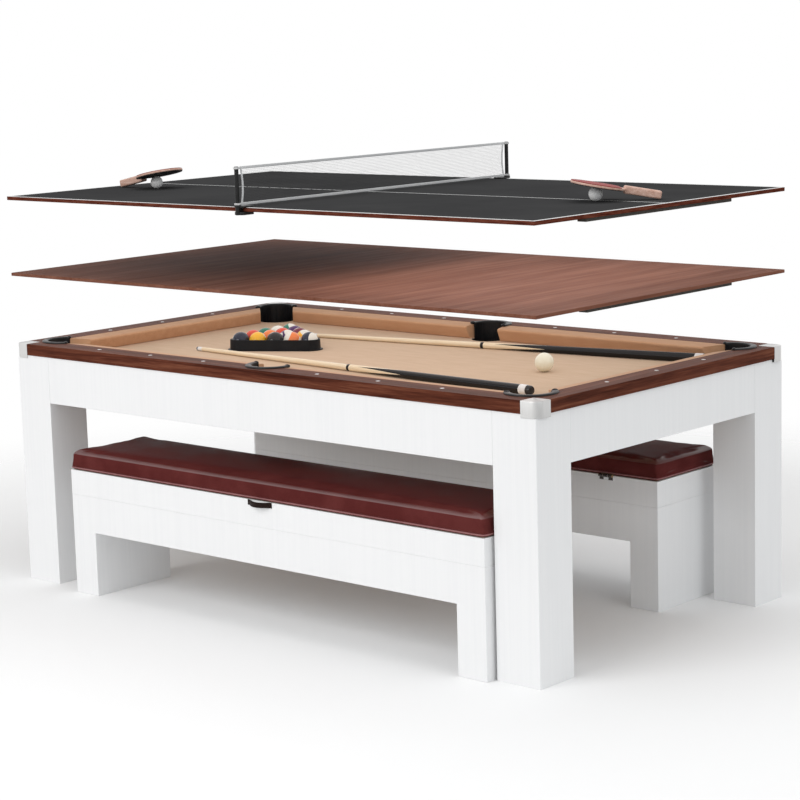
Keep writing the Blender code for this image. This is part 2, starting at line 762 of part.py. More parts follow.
def build_balls_and_rack():
    """Fifteen racked balls as one solid, the triangle round them and the cue ball."""
    lift = BED_TOP + CLEARANCE + RACKED_RADIUS
    rack_balls = []
    for row, place_in_row, centre in racked_places():
        # Neighbours are turned by unlike angles, so that their facets cross cleanly
        turn = Matrix.Rotation((row + place_in_row) % 3 * BALL_SPIN, 4, BALL_SPIN_AXIS)
        name = f"racked_ball_{row}_{place_in_row}"
        racked = ball(name, RACKED_RADIUS, RACKED_SEGMENTS, RACKED_RINGS, turn)
        rack_balls.append(place(racked, (centre.x, centre.y, lift)))
    first = rack_balls[0]
    first.name = "racked_balls"
    join(first, *rack_balls[1:])
    paint(first, BALL_RESIN)

    inner = (RACKED_RADIUS + RACK_PLAY) / cos(pi / 3 / RACK_CORNER_STEPS)
    outer = inner + RACK_WALL
    rack = prism("ball_rack", [rack_outline(outer + RACK_FLANGE_WIDTH)], CLEARANCE, RACK_FLANGE_HEIGHT)
    wall = prism("ball_rack_wall", [rack_outline(outer)], CLEARANCE + SINK, RACK_HEIGHT)
    middle = prism("ball_rack_middle", [rack_outline(inner)], -OVERCUT, RACK_HEIGHT + OVERCUT)
    for shape in (rack, wall, middle):
        place(shape, (*on_cloth(RACK_APEX_SHARES), BED_TOP))
    join(rack, wall)
    cut(rack, middle)
    paint(rack, BLACK_PLASTIC)

    cue_ball = ball("cue_ball", BALL_RADIUS, CUE_BALL_SEGMENTS, CUE_BALL_RINGS)
    place(cue_ball, (*on_cloth(CUE_BALL_SHARES), BED_TOP + CLEARANCE + BALL_RADIUS))
    paint(cue_ball, IVORY)


def cue_profile(length):
    """Half section of a cue, from its tip at the top down to the bumper."""

    def taper(down):
        return CUE_TIP_RADIUS + (CUE_BUTT_RADIUS - CUE_TIP_RADIUS) * down / length

    joint = length * CUE_JOINT_SHARE
    bumper = length - CUE_BUMPER_LENGTH
    sections = [
        (0, 0),
        (0, CUE_DOME_SHARE * CUE_TIP_RADIUS),
        (CUE_TIP_LENGTH / 2, CUE_TIP_RADIUS),
        (joint, CUE_WAIST_SHARE * taper(joint)),
        (joint, taper(joint)),
        (joint + CUE_JOINT_LENGTH, taper(joint + CUE_JOINT_LENGTH)),
        (bumper, taper(bumper)),
        (bumper, CUE_WAIST_SHARE * taper(bumper)),
        (length, CUE_WAIST_SHARE * taper(bumper)),
        (length, 0),
    ]
    return [(radius, -down) for down, radius in sections]


def build_cues():
    """Two cues that lie on the cloth."""
    spots = (
        ("cue_near", CUE_NEAR_TIP_SHARES, CUE_NEAR_END_SHARES),
        ("cue_far", CUE_FAR_TIP_SHARES, CUE_FAR_END_SHARES),
    )
    for name, tip_shares, end_shares in spots:
        tip = on_cloth(tip_shares)
        run = on_cloth(end_shares) - tip
        length = run.length
        cue = turned(name, cue_profile(length), CUE_SIDES)
        rise = (CUE_BUTT_RADIUS - CUE_TIP_RADIUS) / length
        down = Vector((run.x, run.y, length * rise)).normalized()
        place(cue, (*tip, BED_TOP + CLEARANCE + CUE_TIP_RADIUS / cos(rise)))
        cue.rotation_euler = (-down).to_track_quat("Z", "Y").to_euler()
        paint(cue, MAPLE)


def build_top(name, thickness, look, parent):
    """One loose top, placed on the empty that it slides with, and the two pads under its ends."""
    top = box(name, (TABLE_LENGTH, TABLE_WIDTH, thickness), (0, 0, -thickness / 2))
    bevel(top, TOP_EASE, 2)
    place(top, parent=parent)
    paint(top, look)
    for side, sign in (("left", -1), ("right", 1)):
        centre = (sign * (HALF_LENGTH - PAD_INSET), 0, -thickness - CLEARANCE - PAD_HEIGHT / 2)
        pad = box(f"{name.split('_')[0]}_pad_{side}", (PAD_WIDTH, PAD_LENGTH, PAD_HEIGHT), centre)
        paint(place(pad, parent=parent), FELT)


def build_post(name, side, parent):
    """Net post with its clamp: two jaws that hold the edge of the tennis top."""
    y = side * (HALF_WIDTH + POST_OFFSET - SINK)
    bottom = -TENNIS_THICKNESS - CLEARANCE - JAW_LOWER
    post = cylinder(name, POST_RADIUS, POST_HEIGHT - bottom, POST_SIDES)
    place(post, (0, y, (POST_HEIGHT + bottom) / 2), parent=parent)
    near = HALF_WIDTH - JAW_REACH
    far = HALF_WIDTH + POST_OFFSET
    jaws = (("upper", CLEARANCE, JAW_UPPER), ("lower", bottom, bottom + JAW_LOWER))
    for jaw, low, high in jaws:
        width = JAW_WIDTH / 2
        plate = span_box(f"{name}_{jaw}_jaw", (-width, near, low), (width, far, high))
        ease_edges(plate, JAW_EASE, lambda co: True)
        place(plate, rotation=(0, 0, 0 if side > 0 else pi), parent=parent)
        join(post, plate)
    paint(post, BLACK_PLASTIC)


def net_outlines():
    """Outline of the net in its own plane, with four ties to the posts, and its open meshes."""
    tie = HALF_WIDTH + POST_OFFSET - SINK - POST_RADIUS - CLEARANCE
    half = tie - NET_TIE_LENGTH
    low, high = NET_LIFT, NET_LIFT + NET_HEIGHT
    outer = [
        (-half, low + NET_TIE_HEIGHT), (-tie, low + NET_TIE_HEIGHT), (-tie, low),
        (tie, low), (tie, low + NET_TIE_HEIGHT), (half, low + NET_TIE_HEIGHT),
        (half, high - NET_TIE_HEIGHT), (tie, high - NET_TIE_HEIGHT), (tie, high),
        (-tie, high), (-tie, high - NET_TIE_HEIGHT), (-half, high - NET_TIE_HEIGHT),
    ]
    outlines = [outer]
    left = -half + NET_END_TAPE
    column = 2 * -left / NET_COLUMNS
    row = (NET_HEIGHT - 2 * NET_TAPE) / NET_ROWS
    for across in range(NET_COLUMNS):
        for up in range(NET_ROWS):
            x0 = left + across * column + NET_STRAND / 2
            y0 = low + NET_TAPE + up * row + NET_STRAND / 2
            x1 = x0 + column - NET_STRAND
            y1 = y0 + row - NET_STRAND
            outlines.append([(x0, y0), (x1, y0), (x1, y1), (x0, y1)])
    return outlines


def build_net(parent):
    """The flat net between the posts."""
    net = prism("net", net_outlines(), -NET_THICKNESS / 2, NET_THICKNESS / 2)
    place(net, rotation=(pi / 2, 0, pi / 2), parent=parent)
    paint(net, NET_GREY)


def blade_outline():
    """Outline of a paddle's blade along X, from the end of its handle."""
    middle = HANDLE_LENGTH + BLADE_LENGTH / 2
    outline = []
    for index in range(BLADE_POINTS):
        angle = 2 * pi * index / BLADE_POINTS
        outline.append((middle + BLADE_LENGTH / 2 * cos(angle), BLADE_WIDTH / 2 * sin(angle)))
    return outline


def handle_outline():
    """Outline of a paddle's handle, flared to its end and run into the blade."""
    tip = HANDLE_LENGTH + HANDLE_TANG
    tang = HANDLE_NECK * HANDLE_TANG_SHARE
    return [
        (0, -HANDLE_END / 2), (HANDLE_LENGTH / 2, -HANDLE_NECK / 2), (HANDLE_LENGTH, -HANDLE_NECK / 2),
        (tip, -tang / 2), (tip, tang / 2), (HANDLE_LENGTH, HANDLE_NECK / 2),
        (HANDLE_LENGTH / 2, HANDLE_NECK / 2), (0, HANDLE_END / 2),
    ]


def build_paddle(side, end_shares, turn, reach, parent):
    """Paddle that lies on its handle's end and on a small ball, and that ball."""
    end = Vector((end_shares[0] * HALF_LENGTH, end_shares[1] * HALF_WIDTH))
    step = (HANDLE_THICKNESS - BLADE_THICKNESS) / 2
    drop = TENNIS_BALL_RADIUS + 2 * CLEARANCE - step
    tilt = atan2(TENNIS_BALL_RADIUS, reach) + asin(drop / hypot(reach, TENNIS_BALL_RADIUS))
    handle = prism(f"paddle_{side}", [handle_outline()], 0, HANDLE_THICKNESS)
    ease_edges(handle, HANDLE_EASE, lambda co: co.x < HANDLE_LENGTH - SINK)
    blade = prism(f"paddle_{side}_blade", [blade_outline()], step, step + BLADE_THICKNESS)
    for shape in (handle, blade):
        place(shape, (*end, CLEARANCE), (0, -tilt, turn), parent)
    join(handle, blade)
    paint(handle, PADDLE_WOOD)
    small = ball(f"tennis_ball_{side}", TENNIS_BALL_RADIUS, TENNIS_BALL_SEGMENTS, TENNIS_BALL_RINGS)
    spot = end + reach * Vector((cos(turn), sin(turn)))
    place(small, (spot.x, spot.y, TENNIS_BALL_RADIUS + CLEARANCE), parent=parent)
    paint(small, WHITE_PLASTIC)


def build_tops():
    """The dining top, and the tennis top with its net, posts, paddles and balls."""
    dining = add_empty("dining_top_lift", (0, 0, DINING_TOP_Z))
    build_top("dining_top", DINING_THICKNESS, DINING_WOOD, dining)
    tennis = add_empty("tennis_top_lift", (0, 0, TENNIS_LIFT))
    tennis.parent = dining
    build_top("tennis_top", TENNIS_THICKNESS, TENNIS_PAINT, tennis)
    build_post("net_post_front", -1, tennis)
    build_post("net_post_back", 1, tennis)
    build_net(tennis)
    build_paddle("left", PADDLE_LEFT_END_SHARES, PADDLE_LEFT_TURN, PADDLE_LEFT_REACH, tennis)
    build_paddle("right", PADDLE_RIGHT_END_SHARES, PADDLE_RIGHT_TURN, PADDLE_RIGHT_REACH, tennis)


def build_bench_base(name, slide):
    """Open frame of a bench: two slab legs, two lower aprons and the cleats between them."""
    half = BENCH_LENGTH / 2
    inner = half - BENCH_LEG
    arch = [
        (-half, 0), (-inner, 0), (-inner, BENCH_APRON_BOTTOM), (inner, BENCH_APRON_BOTTOM),
        (inner, 0), (half, 0), (half, BENCH_SEAM), (-half, BENCH_SEAM),
    ]
    base = prism(f"{name}_base", [arch], 0, BENCH_DEPTH)
    well = span_box(
        f"{name}_base_well",
        (-inner + BENCH_CLEAT, BENCH_BOARD, BENCH_APRON_BOTTOM - OVERCUT),
        (inner - BENCH_CLEAT, BENCH_DEPTH - BENCH_BOARD, BENCH_SEAM + OVERCUT),
    )
    place(base, (0, BENCH_DEPTH, 0), (pi / 2, 0, 0), slide)
    cut(base, place(well, parent=slide))
    paint(base, WHITE_LACQUER)


def hinge_piece(name, middle_x, part, slide):
    """One leaf of a bench hinge: the box's drops down its back, the lid's runs under the board."""
    hidden = HINGE_BITE
    wide = HINGE_WIDTH / 2
    middle = HINGE_MIDDLE / 2
    back = BENCH_DEPTH
    centre = back + HINGE_OFFSET
    shapes = []
    if part == "box":
        shapes.append(cylinder(f"{name}_knuckle", HINGE_RADIUS, HINGE_MIDDLE, HINGE_SIDES, "X"))
        place(shapes[-1], (middle_x, centre, BENCH_BODY_TOP), parent=slide)
        shapes.append(span_box(
            f"{name}_plate",
            (middle_x - wide, back - SINK, BENCH_BODY_TOP - HINGE_DROP),
            (middle_x + wide, back + HINGE_PLATE, BENCH_BODY_TOP - HINGE_RADIUS - HINGE_PLAY),
        ))
        shapes.append(span_box(
            f"{name}_neck",
            (middle_x - middle + SINK / 2, back - SINK / 2, BENCH_BODY_TOP - HINGE_DROP + SINK),
            (middle_x + middle - SINK / 2, back + HINGE_OFFSET - SINK, BENCH_BODY_TOP - SINK),
        ))
        for shape in shapes[1:]:
            place(shape, parent=slide)
        return shapes
    for sign in (-1, 1):
        inner = middle + HINGE_PLAY
        low_x, high_x = sorted((middle_x + sign * inner, middle_x + sign * wide))
        knuckle = cylinder(f"{name}_knuckle_{sign}", HINGE_RADIUS, high_x - low_x, HINGE_SIDES, "X")
        place(knuckle, ((low_x + high_x) / 2, centre, BENCH_BODY_TOP), parent=slide)
        leaf = span_box(
            f"{name}_leaf_{sign}",
            (low_x + SINK / 2, back - hidden, BENCH_BODY_TOP + CLEARANCE),
            (high_x - SINK / 2, centre, BENCH_BODY_TOP + HINGE_PLATE),
        )
        shapes.extend((knuckle, place(leaf, parent=slide)))
    return shapes


def hinge_places():
    """Middles of the two hinges along a bench."""
    return (-HINGE_SHARE * BENCH_LENGTH, HINGE_SHARE * BENCH_LENGTH)


def build_bench_box(name, slide):
    """Storage box of a bench: a wide upper part on the frame and a tub that drops into it."""
    half = BENCH_LENGTH / 2
    bottom = BENCH_SEAM + CLEARANCE
    tub_x = half - BENCH_LEG - BENCH_CLEAT - CLEARANCE
    tub_y = BENCH_BOARD + CLEARANCE
    storage = span_box(f"{name}_box", (-half, 0, bottom), (half, BENCH_DEPTH, BENCH_BODY_TOP))
    tub = span_box(f"{name}_tub", (-tub_x, tub_y, TUB_BOTTOM), (tub_x, BENCH_DEPTH - tub_y, bottom + SINK))
    upper = span_box(
        f"{name}_upper_space",
        (-half + BENCH_BOARD, BENCH_BOARD, bottom + TUB_FLOOR),
        (half - BENCH_BOARD, BENCH_DEPTH - BENCH_BOARD, BENCH_BODY_TOP + OVERCUT),
    )
    lower = span_box(
        f"{name}_lower_space",
        (-tub_x + TUB_WALL, tub_y + TUB_WALL, TUB_BOTTOM + TUB_FLOOR),
        (tub_x - TUB_WALL, BENCH_DEPTH - tub_y - TUB_WALL, BENCH_BODY_TOP + OVERCUT / 2),
    )
    for shape in (storage, tub, upper, lower):
        place(shape, parent=slide)
    join(storage, tub)
    cut(storage, upper, lower)
    for index, middle_x in enumerate(hinge_places()):
        join(storage, *hinge_piece(f"{name}_box_hinge_{index}", middle_x, "box", slide))
    paint(storage, WHITE_LACQUER)


def build_bench_lid(name, slide, hinge):
    """Board under the seat, with the moving halves of the two hinges."""
    half = BENCH_LENGTH / 2 - LID_INSET
    lid = span_box(
        f"{name}_lid",
        (-half, LID_INSET, BENCH_BODY_TOP + CLEARANCE),
        (half, BENCH_DEPTH - LID_INSET, BENCH_BODY_TOP + CLEARANCE + LID_THICKNESS),
    )
    shapes = [lid]
    for index, middle_x in enumerate(hinge_places()):
        pieces = hinge_piece(f"{name}_lid_hinge_{index}", middle_x, "lid", slide)
        shapes.extend(pieces)
        join(lid, *pieces)
    for shape in shapes:
        hang(shape, slide, hinge)
    paint(lid, RAW_WOOD)


def hang(piece, slide, hinge):
    """Hang a piece of a bench on its hinge, without moving it."""
    piece.parent = hinge
    piece.location = piece.location - hinge.location
    return piece


def seat_lines(half, edge, columns):
    """Grid lines of the seat's cage from one side to the other, with a close line at each edge."""
    inner = half - edge
    lines = [-half]
    lines.extend(-inner + 2 * inner * step / columns for step in range(columns + 1))
    lines.append(half)
    return lines


def build_bench_cushion(name, slide, hinge):
    """Padded seat, crowned on top and drawn in between its corners, hollow over the lid board."""
    half_x = BENCH_LENGTH / 2 + SEAT_OVERHANG
    half_y = BENCH_DEPTH / 2 + SEAT_OVERHANG
    bottom = BENCH_BODY_TOP + 2 * CLEARANCE
    height = SEAT_TOP - SEAT_CROWN - bottom
    lines_x = seat_lines(half_x, SEAT_EDGE, SEAT_COLUMNS)
    lines_y = seat_lines(half_y, SEAT_EDGE, SEAT_LAYERS)
    lines_z = seat_lines(height / 2, SEAT_EDGE / 2, 1)
    bm = bmesh.new()
    bmesh.ops.create_cube(bm, size=2)
    bmesh.ops.scale(bm, vec=(half_x, half_y, height / 2), verts=bm.verts)
    for lines, normal in ((lines_x, (1, 0, 0)), (lines_y, (0, 1, 0)), (lines_z, (0, 0, 1))):
        for line in lines[1:-1]:
            spot = Vector(normal) * line
            geometry = bm.verts[:] + bm.edges[:] + bm.faces[:]
            bmesh.ops.bisect_plane(bm, geom=geometry, dist=WELD, plane_co=spot, plane_no=normal)
    for vert in bm.verts:
        share_x = vert.co.x / half_x
        share_y = vert.co.y / half_y
        share_z = vert.co.z / (height / 2)
        middle = 1 - share_z ** 2
        if share_z > 0:
            vert.co.z += SEAT_CROWN * share_z * (1 - share_x ** 4) * (1 - share_y ** 2)
        vert.co.x -= SEAT_PULL_IN * share_x ** 3 * (1 - share_y ** 2) * (1 - middle / 2)
        vert.co.y -= SEAT_PULL_IN * share_y ** 3 * (1 - share_x ** 4) * (1 - middle / 2)
    seat = add_mesh(f"{name}_cushion", bm)
    seat.data.shade_smooth()
    soft = seat.modifiers.new("soft", "SUBSURF")
    soft.levels = 1
    soft.render_levels = 1
    place(seat, (0, BENCH_DEPTH / 2, bottom + height / 2), parent=slide)
    inset = LID_INSET - CLEARANCE
    recess = span_box(
        f"{name}_cushion_recess",
        (-BENCH_LENGTH / 2 + inset, inset, BENCH_BODY_TOP - OVERCUT),
        (BENCH_LENGTH / 2 - inset, BENCH_DEPTH - inset, BENCH_BODY_TOP + LID_THICKNESS + 2 * CLEARANCE),
    )
    tools = [place(recess, parent=slide)]
    for index, middle_x in enumerate(hinge_places()):
        wide = HINGE_WIDTH / 2 + HINGE_PLAY
        notch = span_box(
            f"{name}_cushion_notch_{index}",
            (middle_x - wide, BENCH_DEPTH - HINGE_BITE, BENCH_BODY_TOP - OVERCUT / 2),
            (middle_x + wide, BENCH_DEPTH + OVERCUT, BENCH_BODY_TOP + HINGE_RADIUS + HINGE_PLAY),
        )
        tools.append(place(notch, parent=slide))
    cut(seat, *tools)
    for shape in (seat, *tools):
        hang(shape, slide, hinge)
    paint(seat, MAROON_LEATHER)


def build_bench_pull(name, slide, hinge):
    """Strap loop that bows out from under the middle of the seat's front."""
    outer = []
    inner = []
    for step in range(PULL_STEPS + 1):
        share = step / PULL_STEPS
        x = PULL_WIDTH * (share - 1 / 2)
        bow = PULL_BULGE * sin(pi * share)
        outer.append((x, -PULL_THICKNESS - bow))
        inner.append((x, -bow))
    half = PULL_WIDTH / 2
    outline = [(-half - PULL_TAB, -PULL_THICKNESS), *outer, (half + PULL_TAB, -PULL_THICKNESS)]
    outline.extend([(half + PULL_TAB, 0), *reversed(inner), (-half - PULL_TAB, 0)])
    pull = prism(f"{name}_pull", [outline], -PULL_STRAP, 0)
    place(pull, (0, -CLEARANCE, BENCH_BODY_TOP + CLEARANCE), parent=slide)
    hang(pull, slide, hinge)
    paint(pull, DARK_LEATHER)


def build_bench(name, side, share, proud, turn):
    """One storage bench on its slide, face forward, with its lid on the hinge axis at the back."""
    place_x = share * BENCH_SIDE_ROOM / 2
    slide = add_empty(f"{name}_slide", (place_x, side * (HALF_WIDTH + proud), 0))
    slide.rotation_euler = (0, 0, turn)
    hinge = add_empty(f"{name}_lid_hinge", (0, BENCH_DEPTH + HINGE_OFFSET, BENCH_BODY_TOP))
    hinge.parent = slide
    build_bench_base(name, slide)
    build_bench_box(name, slide)
    build_bench_lid(name, slide, hinge)
    build_bench_cushion(name, slide, hinge)
    build_bench_pull(name, slide, hinge)


build_legs()
build_aprons()
build_rails()
build_corner_caps()
build_bed()
build_cushions()
build_pockets()
build_balls_and_rack()
build_cues()
build_tops()
build_bench("front_bench", -1, FRONT_BENCH_SHARE, FRONT_BENCH_PROUD, 0)
build_bench("back_bench", 1, BACK_BENCH_SHARE, BACK_BENCH_PROUD, pi)
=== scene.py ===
"""Looks of the multi game table: the pool table, its two lifted tops, its games and its benches.

Every size is in metres and every piece is made where it stands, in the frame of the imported
model: the floor is z = 0, +X runs along the table and -Y is its front.
"""

from __future__ import annotations

import json
import logging
from collections.abc import Callable, Sequence
from dataclasses import dataclass, field, replace
from enum import Enum
from math import asin, atan2, cos, hypot, pi, radians, sin, sqrt

import bmesh
import bpy
from mathutils import Matrix, Vector
from mathutils.bvhtree import BVHTree

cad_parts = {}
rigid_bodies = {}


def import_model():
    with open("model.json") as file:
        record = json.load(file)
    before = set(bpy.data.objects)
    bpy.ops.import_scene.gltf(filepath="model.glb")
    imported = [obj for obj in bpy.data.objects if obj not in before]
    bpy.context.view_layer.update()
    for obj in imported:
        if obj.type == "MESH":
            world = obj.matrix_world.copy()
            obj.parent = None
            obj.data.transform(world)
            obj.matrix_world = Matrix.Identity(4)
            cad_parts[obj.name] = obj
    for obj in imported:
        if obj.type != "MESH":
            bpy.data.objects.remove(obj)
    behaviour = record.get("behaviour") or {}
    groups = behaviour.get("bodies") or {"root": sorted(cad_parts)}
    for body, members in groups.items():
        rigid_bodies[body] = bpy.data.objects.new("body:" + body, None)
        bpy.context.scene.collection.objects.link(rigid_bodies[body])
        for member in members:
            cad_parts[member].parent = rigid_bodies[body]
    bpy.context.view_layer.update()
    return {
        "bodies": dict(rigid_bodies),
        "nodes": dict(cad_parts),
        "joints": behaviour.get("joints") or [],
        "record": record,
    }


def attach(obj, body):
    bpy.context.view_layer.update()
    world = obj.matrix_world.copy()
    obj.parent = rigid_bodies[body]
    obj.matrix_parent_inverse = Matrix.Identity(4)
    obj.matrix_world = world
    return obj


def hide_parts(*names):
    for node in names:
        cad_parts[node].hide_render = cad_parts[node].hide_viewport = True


LOG = logging.getLogger("multi_game_table")
TINY = 1e-9

Colour = tuple[float, float, float]
Spot = tuple[float, float, float]
Flat = tuple[float, float]
Ring = list[Vector]
Draft = bmesh.types.BMesh
Mesh = bpy.types.Mesh
Material = bpy.types.Material
Node = bpy.types.Node
Socket = bpy.types.NodeSocket
Thing = bpy.types.Object


class Body(Enum):
    """Moving bodies that carry pieces made here."""

    TABLE = "table"
    TENNIS = "tennis_top_body"
    FRONT_FRAME = "front_bench_frame"
    FRONT_LID = "front_bench_lid_body"
    BACK_FRAME = "back_bench_frame"
    BACK_LID = "back_bench_lid_body"


class GrainWay(Enum):
    """How a wood pattern is stretched: its frequency along X, Y and Z."""

    ALONG_X = (1.0, 24.0, 24.0)
    ALONG_Y = (24.0, 1.0, 24.0)


# Node trees


class Nodes:
    """Node tree that is built up node by node."""

    def __init__(self, tree: bpy.types.NodeTree) -> None:
        """Keep the tree."""
        self.tree = tree

    def add(self, kind: str, inputs: dict | None = None, **settings: object) -> Node:
        """Add a node.

        Args:
            kind: The node's type.
            inputs: Values or sockets to feed, by input name or number.
            **settings: The node's own settings.

        Returns:
            The new node.
        """
        node = self.tree.nodes.new(kind)
        for key, value in settings.items():
            setattr(node, key, value)
        for key, value in (inputs or {}).items():
            self.feed(node.inputs[key], value)
        return node

    def feed(self, socket: Socket, value: object) -> None:
        """Set a socket's value, or link another socket to it.

        Args:
            socket: The socket to feed.
            value: A socket, a number, a vector or a colour of three parts.
        """
        if isinstance(value, bpy.types.NodeSocket):
            self.tree.links.new(value, socket)
        elif socket.type == "RGBA":
            socket.default_value = (*value, 1.0)
        else:
            socket.default_value = value

    def math(self, operation: str, first: object, second: object = 0.0, clamp: bool = False) -> Socket:
        """Sum, product or other operation on one or two numbers."""
        inputs = {0: first, 1: second}
        return self.add("ShaderNodeMath", inputs, operation=operation, use_clamp=clamp).outputs[0]

    def vector(self, *parts: object) -> Socket:
        """Vector of three numbers."""
        return self.add("ShaderNodeCombineXYZ", dict(enumerate(parts))).outputs[0]


class Graph(Nodes):
    """Node tree of one material."""

    def __init__(self, name: str) -> None:
        """Start a material that holds its shader and its coordinates."""
        self.material = bpy.data.materials.new(name)
        self.material.use_nodes = True
        super().__init__(self.material.node_tree)
        self.shader = self.tree.nodes["Principled BSDF"]
        self.place = self.add("ShaderNodeTexCoord")

    def mapped(self, scale: Spot = (1.0, 1.0, 1.0), source: str = "Object") -> Socket:
        """Coordinates stretched by a scale, object coordinates unless another source is named."""
        inputs = {"Vector": self.place.outputs[source], "Scale": scale}
        return self.add("ShaderNodeMapping", inputs).outputs["Vector"]

    def noise(self, vector: Socket, scale: float, detail: float, roughness: float,
              distortion: float = 0.0) -> Socket:
        """Grey noise on a vector."""
        inputs = {"Vector": vector, "Scale": scale, "Detail": detail, "Roughness": roughness,
                  "Distortion": distortion}
        return self.add("ShaderNodeTexNoise", inputs).outputs["Fac"]

    def total(self, *parts: tuple[Socket, float]) -> Socket:
        """Sum of grey values, each times its share."""
        whole, *others = [self.math("MULTIPLY", value, share) for value, share in parts]
        for other in others:
            whole = self.math("ADD", whole, other)
        return whole

    def spread(self, value: object, low: float, high: float, to_low: float = 0.0,
               to_high: float = 1.0) -> Socket:
        """Move a number from one range to another, clamped, with a smooth step."""
        inputs = {"Value": value, "From Min": low, "From Max": high, "To Min": to_low, "To Max": to_high}
        return self.add("ShaderNodeMapRange", inputs, interpolation_type="SMOOTHSTEP").outputs["Result"]

    def vary(self, grey: Socket, low: float, high: float) -> Socket:
        """Number between two limits that follows the middle of a noise."""
        return self.spread(grey, 0.3, 0.7, low, high)

    def ramp(self, factor: object, stops: Sequence[tuple[float, Colour]]) -> Socket:
        """Colour ramp through the given stops.

        Args:
            factor: Grey value that picks the colour.
            stops: Places on the ramp and their colours.

        Returns:
            The colour.
        """
        node = self.add("ShaderNodeValToRGB", {"Fac": factor})
        elements = node.color_ramp.elements
        while len(elements) < len(stops):
            elements.new(0.5)
        for element, (position, colour) in zip(elements, stops):
            element.position = position
            element.color = (*colour, 1.0)
        return node.outputs["Color"]

    def mix(self, factor: object, first: object, second: object) -> Socket:
        """Blend of two colours."""
        inputs = {"Fac": factor, "Color1": first, "Color2": second}
        return self.add("ShaderNodeMixRGB", inputs).outputs["Color"]

    def axes(self, source: str = "Object") -> tuple[Socket, ...]:
        """The three parts of the coordinates."""
        return tuple(self.add("ShaderNodeSeparateXYZ", {"Vector": self.place.outputs[source]}).outputs)

    def bump(self, height: object, distance: float, strength: float, under: Socket | None = None) -> Socket:
        """Relief from a height.

        Args:
            height: Grey height.
            distance: Depth of the relief, in metres.
            strength: Share of the relief that shows.
            under: Relief that this one lies on.

        Returns:
            The bent normal.
        """
        inputs = {"Height": height, "Distance": distance, "Strength": strength}
        if under is not None:
            inputs["Normal"] = under
        return self.add("ShaderNodeBump", inputs).outputs["Normal"]

    def finish(self, **sockets: object) -> Material:
        """Feed the shader's sockets, written with underscores, and return the material."""
        for key, value in sockets.items():
            self.feed(self.shader.inputs[key.replace("_", " ")], value)
        return self.material


# Finishes


@dataclass(frozen=True)
class Wood:
    """Stained and lacquered wood with its grain along one axis."""

    name: str
    dark: Colour
    middle: Colour
    light: Colour
    way: GrainWay = GrainWay.ALONG_X
    figure: float = 1.5
    roughness: float = 0.42
    shine: float = 0.30
    pores: float = 0.25
    sheen: float = 0.0

    def make(self) -> Material:
        """Build the material."""
        graph = Graph(self.name)
        vector = graph.mapped(self.way.value)
        broad = graph.noise(vector, self.figure, 4, 0.6, 0.8)
        fibres = graph.noise(vector, 14.0, 3, 0.6)
        streaks = graph.noise(vector, 5.0, 2, 0.5, 0.3)
        figure = graph.total((broad, 0.50), (fibres, 0.22), (streaks, 0.28))
        colour = graph.ramp(figure, [(0.38, self.dark), (0.50, self.middle), (0.63, self.light)])
        pores = graph.spread(graph.noise(vector, 60.0, 1, 0.5), 0.60, 0.70)
        relief = graph.math("SUBTRACT", graph.math("MULTIPLY", fibres, 0.4), pores)
        return graph.finish(
            Base_Color=graph.mix(graph.math("MULTIPLY", pores, self.pores), colour, self.dark),
            Roughness=graph.vary(fibres, self.roughness - 0.05, self.roughness + 0.07),
            Specular_IOR_Level=self.shine,
            Sheen_Weight=self.sheen,
            Sheen_Roughness=0.30,
            Sheen_Tint=(1.0, 0.70, 0.60),
            Normal=graph.bump(relief, 0.0002, 0.25),
        )


@dataclass(frozen=True)
class Lacquer:
    """White lacquer over board, with the faint upright lines of its brushing."""

    name: str = "white_lacquer"
    colour: Colour = (0.865, 0.868, 0.872)
    shade: Colour = (0.846, 0.850, 0.856)
    roughness: float = 0.42

    def make(self) -> Material:
        """Build the material."""
        graph = Graph(self.name)
        lines = graph.noise(graph.mapped((1.0, 1.0, 0.02)), 90.0, 3, 0.6)
        clouds = graph.noise(graph.mapped(), 2.2, 2, 0.5)
        peel = graph.noise(graph.mapped(), 420.0, 2, 0.5)
        tone = graph.spread(graph.total((lines, 0.7), (clouds, 0.3)), 0.38, 0.62)
        return graph.finish(
            Base_Color=graph.mix(tone, self.shade, self.colour),
            Roughness=graph.vary(clouds, self.roughness - 0.04, self.roughness + 0.06),
            Specular_IOR_Level=0.30,
            Normal=graph.bump(lines, 0.0001, 0.08, graph.bump(peel, 0.0001, 0.10)),
        )


@dataclass(frozen=True)
class PoolCloth:
    """Worsted wool cloth: fine nap, a trace of weave and a pale sheen at low angles."""

    name: str
    colour: Colour = (0.560, 0.405, 0.275)
    light: Colour = (0.620, 0.460, 0.325)
    sheen: float = 0.10

    def make(self) -> Material:
        """Build the material."""
        graph = Graph(self.name)
        nap = graph.noise(graph.mapped(), 1400.0, 2, 0.6)
        brushed = graph.noise(graph.mapped((0.4, 2.0, 2.0)), 24.0, 3, 0.6)
        tone = graph.spread(graph.total((nap, 0.5), (brushed, 0.5)), 0.35, 0.65)
        return graph.finish(
            Base_Color=graph.mix(tone, self.colour, self.light),
            Roughness=graph.vary(nap, 0.88, 0.98),
            Specular_IOR_Level=0.15,
            Sheen_Weight=self.sheen,
            Sheen_Roughness=0.45,
            Sheen_Tint=(0.95, 0.86, 0.76),
            Normal=graph.bump(nap, 0.0003, 0.35),
        )


